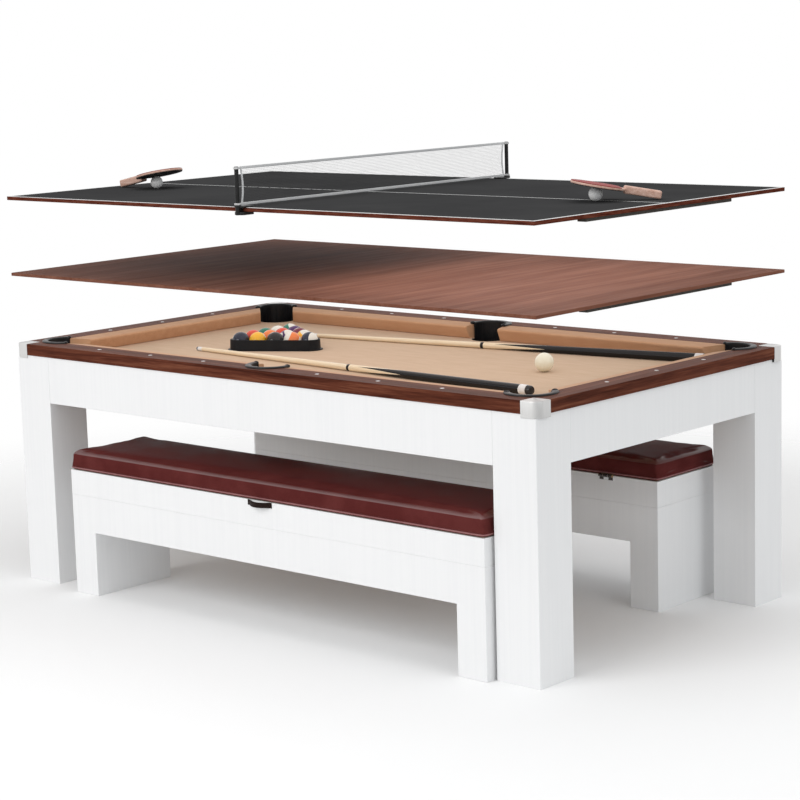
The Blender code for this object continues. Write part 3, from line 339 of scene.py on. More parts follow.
@dataclass(frozen=True)
class Moulded:
    """Moulded plastic or paint with a fine even texture."""

    name: str
    colour: Colour
    light: Colour
    roughness: float
    shine: float
    grain: float = 900.0
    depth: float = 0.00008

    def make(self) -> Material:
        """Build the material."""
        graph = Graph(self.name)
        grain = graph.noise(graph.mapped(), self.grain, 2, 0.5)
        wear = graph.noise(graph.mapped(), 22.0, 4, 0.6)
        return graph.finish(
            Base_Color=graph.mix(graph.spread(wear, 0.35, 0.68), self.colour, self.light),
            Roughness=graph.vary(wear, self.roughness - 0.05, self.roughness + 0.08),
            Specular_IOR_Level=self.shine,
            Normal=graph.bump(grain, self.depth, 0.5),
        )


@dataclass(frozen=True)
class BrushedMetal:
    """Metal brushed in upright lines, with painted reflection bands that follow its curve: its colour turns
    lighter and darker with the direction that its surface faces.
    """

    name: str
    colour: Colour = (0.740, 0.735, 0.725)
    # Darker end of the colour, reached in the painted reflection bands and in the brushing lines.
    shade: Colour = (0.400, 0.400, 0.398)
    roughness: float = 0.34
    painted_reflection_bands: float = 3.0

    def make(self) -> Material:
        """Build the material."""
        graph = Graph(self.name)
        brushing = graph.noise(graph.mapped((1.0, 1.0, 0.02)), 1600.0, 2, 0.6)
        clouds = graph.noise(graph.mapped(), 40.0, 2, 0.5)
        # Painted reflection: a wave of lighter and darker colour round the surface's facing stands in for
        # reflected light; the brushing lines added to it are real.
        x, y, _ = graph.axes("Normal")
        wave = graph.math("SINE", graph.math("MULTIPLY", graph.math("ARCTAN2", y, x), self.painted_reflection_bands))
        tone = graph.math("ADD", graph.total((wave, 0.30), (brushing, 0.35)), 0.35, True)
        return graph.finish(
            Base_Color=graph.mix(tone, self.shade, self.colour),
            Metallic=1.0,
            Roughness=graph.vary(clouds, self.roughness - 0.03, self.roughness + 0.08),
            Normal=graph.bump(brushing, 0.00006, 0.35),
        )


@dataclass(frozen=True)
class Leather:
    """Finished leather: small cells with creases between them painted darker as shade, shinier on a rounded
    edge where asked.
    """

    name: str
    colour: Colour
    light: Colour
    roughness: float
    shine: float = 0.20
    cells: float = 520.0
    edge_shine: float = 0.0

    def make(self) -> Material:
        """Build the material."""
        graph = Graph(self.name)
        plain = graph.mapped()
        cells = graph.add("ShaderNodeTexVoronoi", {"Vector": plain, "Scale": self.cells},
                          feature="DISTANCE_TO_EDGE").outputs["Distance"]
        creases = graph.spread(cells, 0.0, 0.16)
        patches = graph.noise(plain, 9.0, 4, 0.6)
        grit = graph.noise(plain, 1800.0, 1, 0.5)
        tone = graph.mix(graph.spread(patches, 0.32, 0.68), self.colour, self.light)
        # Painted shade: the creases between the cells take a darker copy of the colour.
        painted_crease_shade = tuple(part * 0.45 for part in self.colour)
        shine = self.shine
        if self.edge_shine:
            up = graph.axes("Normal")[2]
            edge = graph.math("MULTIPLY", graph.spread(up, 0.30, 0.62), graph.spread(up, 0.97, 0.86))
            shine = graph.spread(edge, 0.0, 1.0, self.shine, self.edge_shine)
        return graph.finish(
            Base_Color=graph.mix(graph.spread(creases, 0.0, 1.0, 0.35, 0.0), tone, painted_crease_shade),
            Roughness=graph.vary(patches, self.roughness - 0.05, self.roughness + 0.07),
            Specular_IOR_Level=shine,
            Normal=graph.bump(creases, 0.00012, 0.45, graph.bump(grit, 0.00005, 0.3)),
        )


@dataclass(frozen=True)
class TapeWeave:
    """Woven tape or thread, with a fine cross weave."""

    name: str
    colour: Colour
    light: Colour
    threads: float = 900.0

    def make(self) -> Material:
        """Build the material."""
        graph = Graph(self.name)
        across = graph.noise(graph.mapped((1.0, 0.25, 1.0)), self.threads, 2, 0.5)
        down = graph.noise(graph.mapped((1.0, 1.0, 0.25)), self.threads, 2, 0.5)
        weave = graph.total((across, 0.5), (down, 0.5))
        return graph.finish(
            Base_Color=graph.mix(graph.spread(weave, 0.4, 0.6), self.colour, self.light),
            Roughness=graph.vary(weave, 0.80, 0.95),
            Specular_IOR_Level=0.20,
            Normal=graph.bump(weave, 0.0002, 0.5),
        )


@dataclass(frozen=True)
class TennisPaint:
    """Painted tennis top: charcoal field, white border and centre line, stained wooden edge."""

    name: str
    half_length: float
    half_width: float
    field_colour: Colour = (0.044, 0.044, 0.045)
    field_light: Colour = (0.052, 0.052, 0.053)
    line: Colour = (0.700, 0.705, 0.700)
    wood_dark: Colour = (0.060, 0.014, 0.009)
    wood_middle: Colour = (0.110, 0.030, 0.018)
    wood_light: Colour = (0.165, 0.052, 0.032)
    border: float = 0.011
    centre: float = 0.0032

    def make(self) -> Material:
        """Build the material."""
        graph = Graph(self.name)
        x, y, _ = graph.axes()
        up = graph.axes("Normal")[2]
        from_end = graph.math("SUBTRACT", self.half_length, graph.math("ABSOLUTE", x))
        from_side = graph.math("SUBTRACT", self.half_width, graph.math("ABSOLUTE", y))
        edge = graph.math("LESS_THAN", graph.math("MINIMUM", from_end, from_side), self.border)
        middle = graph.math("LESS_THAN", graph.math("ABSOLUTE", y), self.centre)
        grit = graph.noise(graph.mapped(), 1500.0, 2, 0.6)
        clouds = graph.noise(graph.mapped(), 3.0, 3, 0.6)
        paint = graph.mix(graph.spread(clouds, 0.3, 0.7), self.field_colour, self.field_light)
        painted = graph.mix(graph.math("MAXIMUM", edge, middle), paint, self.line)
        figure = graph.noise(graph.mapped((1.0, 1.0, 16.0)), 22.0, 4, 0.6)
        stops = [(0.36, self.wood_dark), (0.50, self.wood_middle), (0.66, self.wood_light)]
        return graph.finish(
            Base_Color=graph.mix(graph.math("GREATER_THAN", up, 0.6), graph.ramp(figure, stops), painted),
            Roughness=graph.vary(clouds, 0.60, 0.70),
            Specular_IOR_Level=0.0,
            Normal=graph.bump(grit, 0.0001, 0.4),
        )


@dataclass(frozen=True)
class BallResin:
    """Polished ball resin: a whole colour or a broad stripe on white, with two bare white dots."""

    name: str
    colour: Colour
    striped: bool
    centre: Spot
    turn: Spot
    radius: float
    dot: float
    white: Colour = (0.800, 0.780, 0.700)
    stripe: float = 0.52

    def make(self) -> Material:
        """Build the material."""
        graph = Graph(self.name)
        inputs = {"Vector": graph.place.outputs["Object"], "Location": self.centre,
                  "Rotation": self.turn, "Scale": (self.radius,) * 3}
        local = graph.add("ShaderNodeMapping", inputs, vector_type="TEXTURE").outputs["Vector"]
        _, y, z = graph.add("ShaderNodeSeparateXYZ", {"Vector": local}).outputs
        clouds = graph.noise(graph.mapped(), 60.0, 2, 0.5)
        shade = graph.mix(graph.vary(clouds, 0.0, 0.012), self.colour, self.white)
        if self.striped:
            band = graph.math("LESS_THAN", graph.math("ABSOLUTE", z), self.stripe)
            shade = graph.mix(band, self.white, shade)
        if self.dot > 0:
            across = graph.math("ADD", graph.math("MULTIPLY", y, y), graph.math("MULTIPLY", z, z))
            shade = graph.mix(graph.math("LESS_THAN", across, self.dot ** 2), shade, self.white)
        return graph.finish(
            Base_Color=shade,
            Roughness=graph.vary(clouds, 0.10, 0.17),
            Specular_IOR_Level=0.35,
            Coat_Weight=0.12,
            Coat_Roughness=0.06,
            Normal=graph.bump(clouds, 0.00002, 0.2),
        )


@dataclass(frozen=True)
class CueFinish:
    """Cue in zones along its length: tip, ferrule, maple, joint ring, pointed butt, cap, bumper."""

    name: str
    length: float
    joint: float
    ferrule: float = 0.020
    tip: float = 0.009
    ring: float = 0.011
    points_from: float = 0.040
    points_to: float = 0.230
    cap: float = 0.042
    bumper: float = 0.016
    maple: Colour = (0.800, 0.640, 0.420)
    pale: Colour = (0.900, 0.780, 0.580)
    black: Colour = (0.010, 0.010, 0.011)
    white: Colour = (0.820, 0.810, 0.790)
    chalk: Colour = (0.060, 0.110, 0.170)
    rubber: Colour = (0.030, 0.030, 0.032)

    def make(self) -> Material:
        """Build the material."""
        graph = Graph(self.name)
        u, v, _ = graph.axes("UV")
        along = graph.math("MULTIPLY", v, self.length)
        grain = graph.noise(graph.mapped((9.0, 3.0, 1.0), "UV"), 6.0, 4, 0.6)
        wood = graph.mix(graph.spread(grain, 0.35, 0.65), self.maple, self.pale)
        fourth = graph.math("FRACT", graph.math("MULTIPLY", u, 4.0))
        peak = graph.math("MULTIPLY", graph.math("ABSOLUTE", graph.math("SUBTRACT", fourth, 0.5)), 2.0)
        butt_from = self.joint + self.ring + self.points_from
        start = graph.math("ADD", graph.math("MULTIPLY", peak, self.points_to - self.points_from), butt_from)
        shade = graph.mix(graph.math("GREATER_THAN", along, start), wood, self.black)
        zones = (
            (0.0, self.tip, self.chalk),
            (self.tip, self.tip + self.ferrule, self.white),
            (self.joint, self.joint + self.ring, self.black),
            (self.length - self.cap, self.length - self.bumper, self.white),
            (self.length - self.bumper, self.length * 2, self.rubber),
        )
        for low, high, colour in zones:
            past, before = graph.math("GREATER_THAN", along, low), graph.math("LESS_THAN", along, high)
            shade = graph.mix(graph.math("MULTIPLY", past, before), shade, colour)
        return graph.finish(
            Base_Color=shade,
            Roughness=graph.vary(grain, 0.18, 0.28),
            Specular_IOR_Level=0.22,
            Coat_Weight=0.10,
            Coat_Roughness=0.12,
            Normal=graph.bump(grain, 0.00004, 0.3),
        )


# Outlines and meshes


def heading(angle: float) -> Vector:
    """Level direction at an angle from +X."""
    return Vector((cos(angle), sin(angle), 0))


def upward(height: float) -> Vector:
    """Vector straight up."""
    return Vector((0, 0, height))


def quarter(steps: int) -> list[Flat]:
    """Sines and cosines of the even steps of a quarter turn."""
    return [(sin(pi / 2 * step / steps), cos(pi / 2 * step / steps)) for step in range(steps + 1)]


def circle(radius: float, sides: int) -> list[Flat]:
    """Outline of a circle."""
    return [(radius * cos(2 * pi * i / sides), radius * sin(2 * pi * i / sides)) for i in range(sides)]


def rectangle(half_x: float, half_y: float) -> list[Flat]:
    """Outline of a rectangle about its middle."""
    return [(-half_x, -half_y), (half_x, -half_y), (half_x, half_y), (-half_x, half_y)]


def rounded(points: Sequence[Flat], radius: float, steps: int) -> list[Flat]:
    """Round the corners of a flat outline.

    Args:
        points: Corners, in order.
        radius: Distance from a corner at which its rounding starts.
        steps: Segments of each rounding.

    Returns:
        The rounded outline.
    """
    outline: list[Flat] = []
    count = len(points)
    for index in range(count):
        before, here, after = (Vector(points[(index + step) % count]) for step in (-1, 0, 1))
        reach_in = min(radius, (before - here).length / 2)
        reach_out = min(radius, (after - here).length / 2)
        start = here + (before - here).normalized() * reach_in
        end = here + (after - here).normalized() * reach_out
        for step in range(steps + 1):
            t = step / steps
            outline.append(tuple(start * (1 - t) ** 2 + here * 2 * t * (1 - t) + end * t ** 2))
    return outline


def offset_outline(points: Sequence[Flat], distance: float) -> list[Flat]:
    """Move a counterclockwise outline inward, along the normals of its points.

    Args:
        points: Points of the outline.
        distance: How far it moves.

    Returns:
        The smaller outline.
    """
    count = len(points)
    moved = []
    for index in range(count):
        before, here, after = (Vector(points[(index + step) % count]) for step in (-1, 0, 1))
        first = (here - before).normalized() if (here - before).length > TINY else Vector((0, 0))
        second = (after - here).normalized() if (after - here).length > TINY else first
        if first.length < 0.5:
            first = second
        along = (first + second).normalized()
        inward = Vector((-along.y, along.x))
        corner = max(0.5, inward.dot(Vector((-first.y, first.x))))
        moved.append(tuple(here + inward * distance / corner))
    return moved


def skin(bm: Draft, rings: Sequence[Ring], loop: bool = False) -> None:
    """Skin a row of rings and close its ends, with a UV map round and along it.

    Args:
        bm: Mesh that takes the skin.
        rings: Rings with one number of points each.
        loop: Whether the last ring joins the first.
    """
    layer = bm.loops.layers.uv.verify()
    rows = [[bm.verts.new(point) for point in ring] for ring in rings]
    lengths = [0.0]
    for first, second in zip(rings, rings[1:]):
        lengths.append(lengths[-1] + sum((a - b).length for a, b in zip(first, second)) / len(first))
    total = max(lengths[-1], TINY)
    count = len(rings[0])
    pairs = [(i, i + 1) for i in range(len(rows) - 1)]
    if loop:
        pairs.append((len(rows) - 1, 0))
    for low, high in pairs:
        bottom, top = lengths[low] / total, lengths[high] / total if high > low else 1.0
        for i in range(count):
            j = (i + 1) % count
            face = bm.faces.new((rows[low][i], rows[low][j], rows[high][j], rows[high][i]))
            left, right = i / count, (i + 1) / count
            spots = ((left, bottom), (right, bottom), (right, top), (left, top))
            for corner, spot in zip(face.loops, spots):
                corner[layer].uv = spot
    if not loop:
        for row, share in ((rows[0][::-1], 0.0), (rows[-1], 1.0)):
            for corner in bm.faces.new(row).loops:
                corner[layer].uv = (0.5, share)


def lathe(bm: Draft, profile: Sequence[Flat], sides: int, centre: Spot, axis: Vector = upward(1)) -> None:
    """Turn a profile round an axis.

    Args:
        bm: Mesh that takes the turned shape.
        profile: Radius and distance along the axis of each point.
        sides: Facets round the axis.
        centre: Where the axis starts.
        axis: Its direction.
    """
    turn = axis.to_track_quat("Z", "Y").to_matrix()
    base, side, other = Vector(centre), turn.col[0], turn.col[1]
    rings = []
    for radius, along in profile:
        middle = base + turn @ upward(along)
        rings.append([middle + side * a + other * b for a, b in circle(radius, sides)])
    skin(bm, rings)


def slab(bm: Draft, outline: Sequence[Flat], low: float, high: float, ease: float, steps: int,
         place: Matrix | None = None) -> None:
    """Upright solid on a flat outline, with rounded edges above and below.

    Args:
        bm: Mesh that takes the solid.
        outline: Counterclockwise outline.
        low: Lower height.
        high: Upper height.
        ease: Radius of the rounded edges.
        steps: Segments of the rounding.
        place: Where the solid goes.
    """
    levels = [(ease * (1 - s), low + ease * (1 - c)) for s, c in quarter(steps)]
    levels += [(inset, high + low - height) for inset, height in reversed(levels)]
    rings = []
    for inset, height in levels:
        flat = offset_outline(outline, inset) if inset > 1e-7 else outline
        rings.append([Vector((x, y, height)) for x, y in flat])
    if place is not None:
        rings = [carried(ring, place) for ring in rings]
    skin(bm, rings)


def box(bm: Draft, low: Spot, high: Spot, ease: float, place: Matrix) -> None:
    """Box between two corners with eased edges."""
    corners = ((low[0], low[1]), (high[0], low[1]), (high[0], high[1]), (low[0], high[1]))
    slab(bm, rounded(corners, ease, 3), low[2], high[2], ease, 2, place)


def sweep(bm: Draft, path: Sequence[Vector], outline: Sequence[Flat], up: Vector = upward(1),
          loop: bool = False) -> None:
    """Sweep an outline along a path.

    Args:
        bm: Mesh that takes the sweep.
        path: Points of the path.
        outline: Outline: its first number runs sideways, its second along up.
        up: Direction that the outline keeps upright.
        loop: Whether the path is closed.
    """
    rings = []
    count = len(path)
    for index, point in enumerate(path):
        before = path[index - 1] if index or loop else point
        after = path[(index + 1) % count] if index < count - 1 or loop else point
        along = (after - before).normalized()
        side = along.cross(up).normalized()
        rise = side.cross(along)
        rings.append([point + side * a + rise * b for a, b in outline])
    skin(bm, rings, loop)


def carried(points: Sequence[Vector], place: Matrix) -> list[Vector]:
    """Points moved by a matrix."""
    return [place @ point for point in points]


def ball(bm: Draft, radius: float, centre: Spot | Vector) -> None:
    """Finely faceted ball."""
    bmesh.ops.create_icosphere(bm, subdivisions=5, radius=radius,
                               matrix=Matrix.Translation(Vector(centre)), calc_uvs=True)


def bevel(thing: Thing, name: str, width: float, degrees: float) -> bpy.types.Modifier:
    """Round a piece's edges that are sharper than an angle, and return the modifier."""
    edges = thing.modifiers.new(name, "BEVEL")
    edges.width = width
    edges.segments = 2
    edges.limit_method = "ANGLE"
    edges.angle_limit = radians(degrees)
    return edges


# The workshop that takes pieces into the scene


class Workshop:
    """Takes finished meshes into the scene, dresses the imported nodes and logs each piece."""

    def __init__(self, nodes: dict[str, Thing]) -> None:
        """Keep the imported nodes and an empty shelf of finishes."""
        self.nodes = nodes
        self.shelf: dict[object, Material] = {}

    def material(self, finish: object) -> Material:
        """Material of a finish, made once."""
        if finish not in self.shelf:
            self.shelf[finish] = finish.make()
        return self.shelf[finish]

    def piece(self, name: str, mesh: Mesh, body: Body, slot: str, finish: object,
              replaces: Sequence[str] = ()) -> Thing:
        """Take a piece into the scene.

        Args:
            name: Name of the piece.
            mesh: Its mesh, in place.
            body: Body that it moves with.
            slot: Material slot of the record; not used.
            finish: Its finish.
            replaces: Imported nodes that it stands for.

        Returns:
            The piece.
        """
        thing = bpy.data.objects.new(name, mesh)
        bpy.context.scene.collection.objects.link(thing)
        mesh.materials.clear()
        mesh.materials.append(self.material(finish))
        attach(thing, body.value)
        if replaces:
            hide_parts(*replaces)
        LOG.info("piece %s on %s, %d faces", name, body.value, len(mesh.polygons))
        return thing

    def build(self, name: str, draw: Callable[[Draft], None], body: Body, slot: str, finish: object,
              replaces: Sequence[str] = (), sharp: float = 32.0) -> Thing:
        """Draw a closed mesh, turn its faces outward and take it into the scene.

        Args:
            name: Name of the piece.
            draw: Function that draws into a mesh.
            body: Body that it moves with.
            slot: Material slot of the record.
            finish: Its finish.
            replaces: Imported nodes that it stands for.
            sharp: Angle in degrees from which an edge is sharp.

        Returns:
            The piece.
        """
        bm = bmesh.new()
        draw(bm)
        bmesh.ops.remove_doubles(bm, verts=bm.verts, dist=1e-6)
        bmesh.ops.recalc_face_normals(bm, faces=bm.faces)
        for face in bm.faces:
            face.smooth = True
        mesh = bpy.data.meshes.new(name)
        bm.to_mesh(mesh)
        bm.free()
        mesh.set_sharp_from_angle(angle=radians(sharp))
        return self.piece(name, mesh, body, slot, finish, replaces)

    def dress(self, node: str, finish: object, ease: float = 0.0) -> None:
        """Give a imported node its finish.

        Args:
            node: Name of the node.
            finish: Its finish.
            ease: Width of its eased edges, or nothing to leave them.
        """
        thing = self.nodes[node]
        thing.data.materials.clear()
        thing.data.materials.append(self.material(finish))
        if ease > 0:
            thing.modifiers.new("weld", "WELD").merge_threshold = 0.00002
            bevel(thing, "edges", ease, 35).harden_normals = True
        LOG.info("dressed %s in %s", node, finish.name)

    def grow(self, name: str, points: Sequence[Vector], tree: bpy.types.GeometryNodeTree,
             inputs: dict[str, object], body: Body, slot: str, finish: object,
             edges: Sequence[tuple[int, int]] = (), replaces: Sequence[str] = (),
             place: Matrix | None = None) -> Thing:
        """Run a node tree on bare points and take the plain mesh that it grows into the scene.

        Args:
            name: Name of the piece.
            points: Points that the tree starts from.
            tree: Node tree, with named inputs.
            inputs: Values of its inputs by name.
            body: Body that the piece moves with.
            slot: Material slot of the record.
            finish: Its finish, which the tree sets.
            edges: Edges between the points.
            replaces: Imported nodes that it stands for.
            place: Where the grown mesh goes.

        Returns:
            The piece.
        """
        source = bpy.data.meshes.new(f"{name}_source")
        source.from_pydata([tuple(point) for point in points], list(edges), [])
        thing = bpy.data.objects.new(f"{name}_source", source)
        bpy.context.scene.collection.objects.link(thing)
        grower = thing.modifiers.new("grow", "NODES")
        grower.node_group = tree
        sockets = {item.name: item.identifier for item in tree.interface.items_tree
                   if item.item_type == "SOCKET" and item.in_out == "INPUT"}
        for key, value in {**inputs, "Finish": self.material(finish)}.items():
            grower[sockets[key]] = value
        mesh = settled(thing, name)
        bpy.data.objects.remove(thing, do_unlink=True)
        if place is not None:
            mesh.transform(place)
        return self.piece(name, mesh, body, slot, finish, replaces)


@dataclass
class Part:
    """Sub-assembly that makes its pieces in the workshop."""

    shop: Workshop


def settled(thing: Thing, name: str) -> Mesh:
    """Plain mesh of an object as its modifiers leave it."""
    graph = bpy.context.evaluated_depsgraph_get()
    mesh = bpy.data.meshes.new_from_object(thing.evaluated_get(graph))
    mesh.name = name
    return mesh


# Geometry node trees


class Tree(Nodes):
    """Geometry node tree with named inputs."""

    def __init__(self, name: str, floats: Sequence[str], **others: str) -> None:
        """Start a tree.

        Args:
            name: Name of the tree.
            floats: Names of its numbers.
            **others: Socket types of its other inputs, by name.
        """
        super().__init__(bpy.data.node_groups.new(name, "GeometryNodeTree"))
        face = self.tree.interface
        face.new_socket("Geometry", in_out="OUTPUT", socket_type="NodeSocketGeometry")
        kinds = {"Geometry": "NodeSocketGeometry", **dict.fromkeys(floats, "NodeSocketFloat"), **others,
                 "Finish": "NodeSocketMaterial"}
        for label, kind in kinds.items():
            face.new_socket(label, in_out="INPUT", socket_type=kind)
        self.start = self.add("NodeGroupInput")
        self.end = self.add("NodeGroupOutput")

    def given(self, label: str) -> Socket:
        """One of the tree's inputs."""
        return self.start.outputs[label]

    def copies(self, points: Socket, shape: Socket, turn: Socket | None = None) -> Socket:
        """Set a shape on every point, turned where asked."""
        inputs = {"Points": points, "Instance": shape}
        if turn is not None:
            inputs["Rotation"] = turn
        return self.add("GeometryNodeInstanceOnPoints", inputs).outputs[0]

    def smooth_ball(self, segments: int, rings: int, radius: object, scale: Socket) -> Socket:
        """Ball stretched by a scale, shaded smooth."""
        inputs = {"Segments": segments, "Rings": rings, "Radius": radius}
        plain = self.add("GeometryNodeMeshUVSphere", inputs).outputs[0]
        stretched = self.add("GeometryNodeTransform", {"Geometry": plain, "Scale": scale})
        return self.add("GeometryNodeSetShadeSmooth", {0: stretched.outputs[0]}).outputs[0]

    def close(self, geometry: Socket) -> bpy.types.GeometryNodeTree:
        """Realize the instances, set the finish and end the tree."""
        real = self.add("GeometryNodeRealizeInstances", {"Geometry": geometry})
        inputs = {"Geometry": real.outputs[0], "Material": self.given("Finish")}
        finished = self.add("GeometryNodeSetMaterial", inputs)
        self.tree.links.new(finished.outputs[0], self.end.inputs[0])
        return self.tree


def stud_tree() -> bpy.types.GeometryNodeTree:
    """Tree that sets a low domed stud on every point of a mesh, turned as asked."""
    tree = Tree("studs", ("Radius", "Rise"), Turn="NodeSocketRotation")
    squash = tree.vector(1.0, 1.0, tree.math("DIVIDE", tree.given("Rise"), tree.given("Radius")))
    dome = tree.smooth_ball(24, 10, tree.given("Radius"), squash)
    return tree.close(tree.copies(tree.given("Geometry"), dome, tree.given("Turn")))


def netting_tree() -> bpy.types.GeometryNodeTree:
    """Tree that knits a flat net in the YZ plane: upright and level strands with a slight wave."""
    tree = Tree("netting", ("Width", "Height", "Strand", "Wave"), Columns="NodeSocketInt",
                Rows="NodeSocketInt")
    width, height, strand = tree.given("Width"), tree.given("Height"), tree.given("Strand")
    profile = tree.add("GeometryNodeCurvePrimitiveCircle", {"Resolution": 4, "Radius": strand})

    def strands(long: bool) -> Socket:
        """One set of strands, the long level ones or the upright ones."""
        reach, count = (width, tree.given("Rows")) if long else (height, tree.given("Columns"))
        other, steps = (height, 120) if long else (width, 8)
        gap = tree.math("DIVIDE", other, tree.math("SUBTRACT", count, 1.0))
        end, step = ((0, reach, 0), (0, 0, gap)) if long else ((0, 0, reach), (0, gap, 0))
        line = tree.add("GeometryNodeCurvePrimitiveLine", {"End": tree.vector(*end)})
        fine = tree.add("GeometryNodeResampleCurve", {"Curve": line.outputs[0], "Count": steps})
        tube = tree.add("GeometryNodeCurveToMesh", {
            "Curve": fine.outputs[0], "Profile Curve": profile.outputs[0], "Fill Caps": True})
        spots = tree.add("GeometryNodeMeshLine", {"Count": count, "Offset": tree.vector(*step)})
        return tree.copies(spots.outputs[0], tube.outputs[0])

    both = tree.add("GeometryNodeJoinGeometry")
    for long in (True, False):
        tree.tree.links.new(strands(long), both.inputs[0])
    real = tree.add("GeometryNodeRealizeInstances", {"Geometry": both.outputs[0]})
    place = tree.add("GeometryNodeInputPosition")
    wave = tree.add("ShaderNodeTexNoise", {"Vector": place.outputs[0], "Scale": 7.0, "Detail": 1.0})
    push = tree.math("MULTIPLY", tree.math("SUBTRACT", wave.outputs["Fac"], 0.5), tree.given("Wave"))
    inputs = {"Geometry": real.outputs[0], "Offset": tree.vector(push, 0, 0)}
    return tree.close(tree.add("GeometryNodeSetPosition", inputs).outputs[0])


def stitch_tree() -> bpy.types.GeometryNodeTree:
    """Tree that sews stitches of even pitch along the edges of a mesh."""
    tree = Tree("stitches", ("Pitch", "Length", "Thread"))
    curve = tree.add("GeometryNodeMeshToCurve", {0: tree.given("Geometry")})
    inputs = {"Curve": curve.outputs[0], "Length": tree.given("Pitch")}
    spots = tree.add("GeometryNodeCurveToPoints", inputs, mode="LENGTH").outputs
    shape = tree.vector(tree.given("Thread"), tree.given("Thread"), tree.given("Length"))
    return tree.close(tree.copies(spots["Points"], tree.smooth_ball(8, 6, 1.0, shape), spots["Rotation"]))


# Finishes that several parts share

WALNUT_X = Wood("rail_walnut_long", (0.046, 0.012, 0.007), (0.110, 0.032, 0.018), (0.190, 0.068, 0.038),
                GrainWay.ALONG_X, 1.8, 0.46, 0.02, sheen=0.16)
WALNUT_Y = replace(WALNUT_X, name="rail_walnut_short", way=GrainWay.ALONG_Y)
DINING_WALNUT = Wood("dining_walnut", (0.135, 0.050, 0.031), (0.185, 0.076, 0.050), (0.240, 0.108, 0.073),
                     GrainWay.ALONG_Y, 0.9, 0.50, 0.01, 0.12)
RAW_BOARD = Wood("raw_board", (0.260, 0.160, 0.090), (0.360, 0.240, 0.140), (0.450, 0.310, 0.190),
                 GrainWay.ALONG_X, 1.4, 0.70, 0.20, 0.15)
PLY = Wood("paddle_ply", (0.480, 0.270, 0.200), (0.600, 0.380, 0.300), (0.700, 0.480, 0.400),
           GrainWay.ALONG_X, 3.0, 0.45, 0.30, 0.10)
WHITE = Lacquer()
BED_CLOTH = PoolCloth("bed_cloth")
RAIL_CLOTH = PoolCloth("rail_cloth", (0.590, 0.330, 0.185), (0.650, 0.385, 0.225), 0.24)
FELT = PoolCloth("pad_felt", (0.050, 0.045, 0.040), (0.075, 0.070, 0.062), 0.15)
BLACK_PLASTIC = Moulded("black_plastic", (0.008, 0.008, 0.009), (0.013, 0.013, 0.014), 0.34, 0.25)
RACK_PLASTIC = replace(BLACK_PLASTIC, name="rack_plastic", roughness=0.40, shine=0.12)
POST_BLACK = Moulded("post_black", (0.008, 0.008, 0.008), (0.013, 0.013, 0.013), 0.36, 0.20)
PEARL = Moulded("sight_pearl", (0.920, 0.920, 0.910), (0.960, 0.960, 0.950), 0.22, 0.50, 200.0, 0.00003)
WHITE_SHELL = Moulded("tennis_ball_shell", (0.880, 0.880, 0.875), (0.920, 0.920, 0.915), 0.38, 0.40)
RED_RUBBER = Moulded("red_rubber", (0.210, 0.018, 0.016), (0.260, 0.026, 0.022), 0.55, 0.30, 1200.0, 0.0001)
BLACK_RUBBER = replace(RED_RUBBER, name="black_rubber", colour=(0.012, 0.012, 0.012),
                       light=(0.018, 0.018, 0.018))
ALUMINIUM = BrushedMetal("cap_aluminium")
DARK_STEEL = BrushedMetal("hinge_steel", (0.110, 0.100, 0.090), (0.060, 0.056, 0.052), 0.42)
MAROON = Leather("maroon_leather", (0.100, 0.021, 0.020), (0.130, 0.031, 0.029), 0.34, 0.004,
                 edge_shine=1.0)
# Painted highlight: the welt is a lighter, pinker copy of the seat's leather, standing in for the light that
# its rounded piping catches.
WELT_PAINTED_HIGHLIGHT = Leather("welt_leather_painted_highlight", (0.270, 0.110, 0.110), (0.330, 0.150, 0.150), 0.30)
STRAP = Leather("strap_leather", (0.012, 0.006, 0.005), (0.020, 0.010, 0.008), 0.55, 0.08, 700.0)
TAPE = TapeWeave("net_tape", (0.580, 0.585, 0.590), (0.680, 0.685, 0.690))
CORD = TapeWeave("net_cord", (0.020, 0.020, 0.020), (0.032, 0.032, 0.032))
LOOP = TapeWeave("net_loop", (0.560, 0.560, 0.560), (0.680, 0.680, 0.680))


# The pool table


@dataclass
class TableBase(Part):
    """Lacquered legs and aprons, and the raw beam under the bed."""

    ease: float = 0.0012

    def dress(self) -> None:
        """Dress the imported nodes."""
        for corner in ("front_left", "front_right", "back_left", "back_right"):
            self.shop.dress(f"leg_{corner}", WHITE, self.ease)
        for side in ("front", "back", "left", "right"):
            self.shop.dress(f"apron_{side}", WHITE, self.ease)
        self.shop.dress("centre_beam", RAW_BOARD, self.ease)


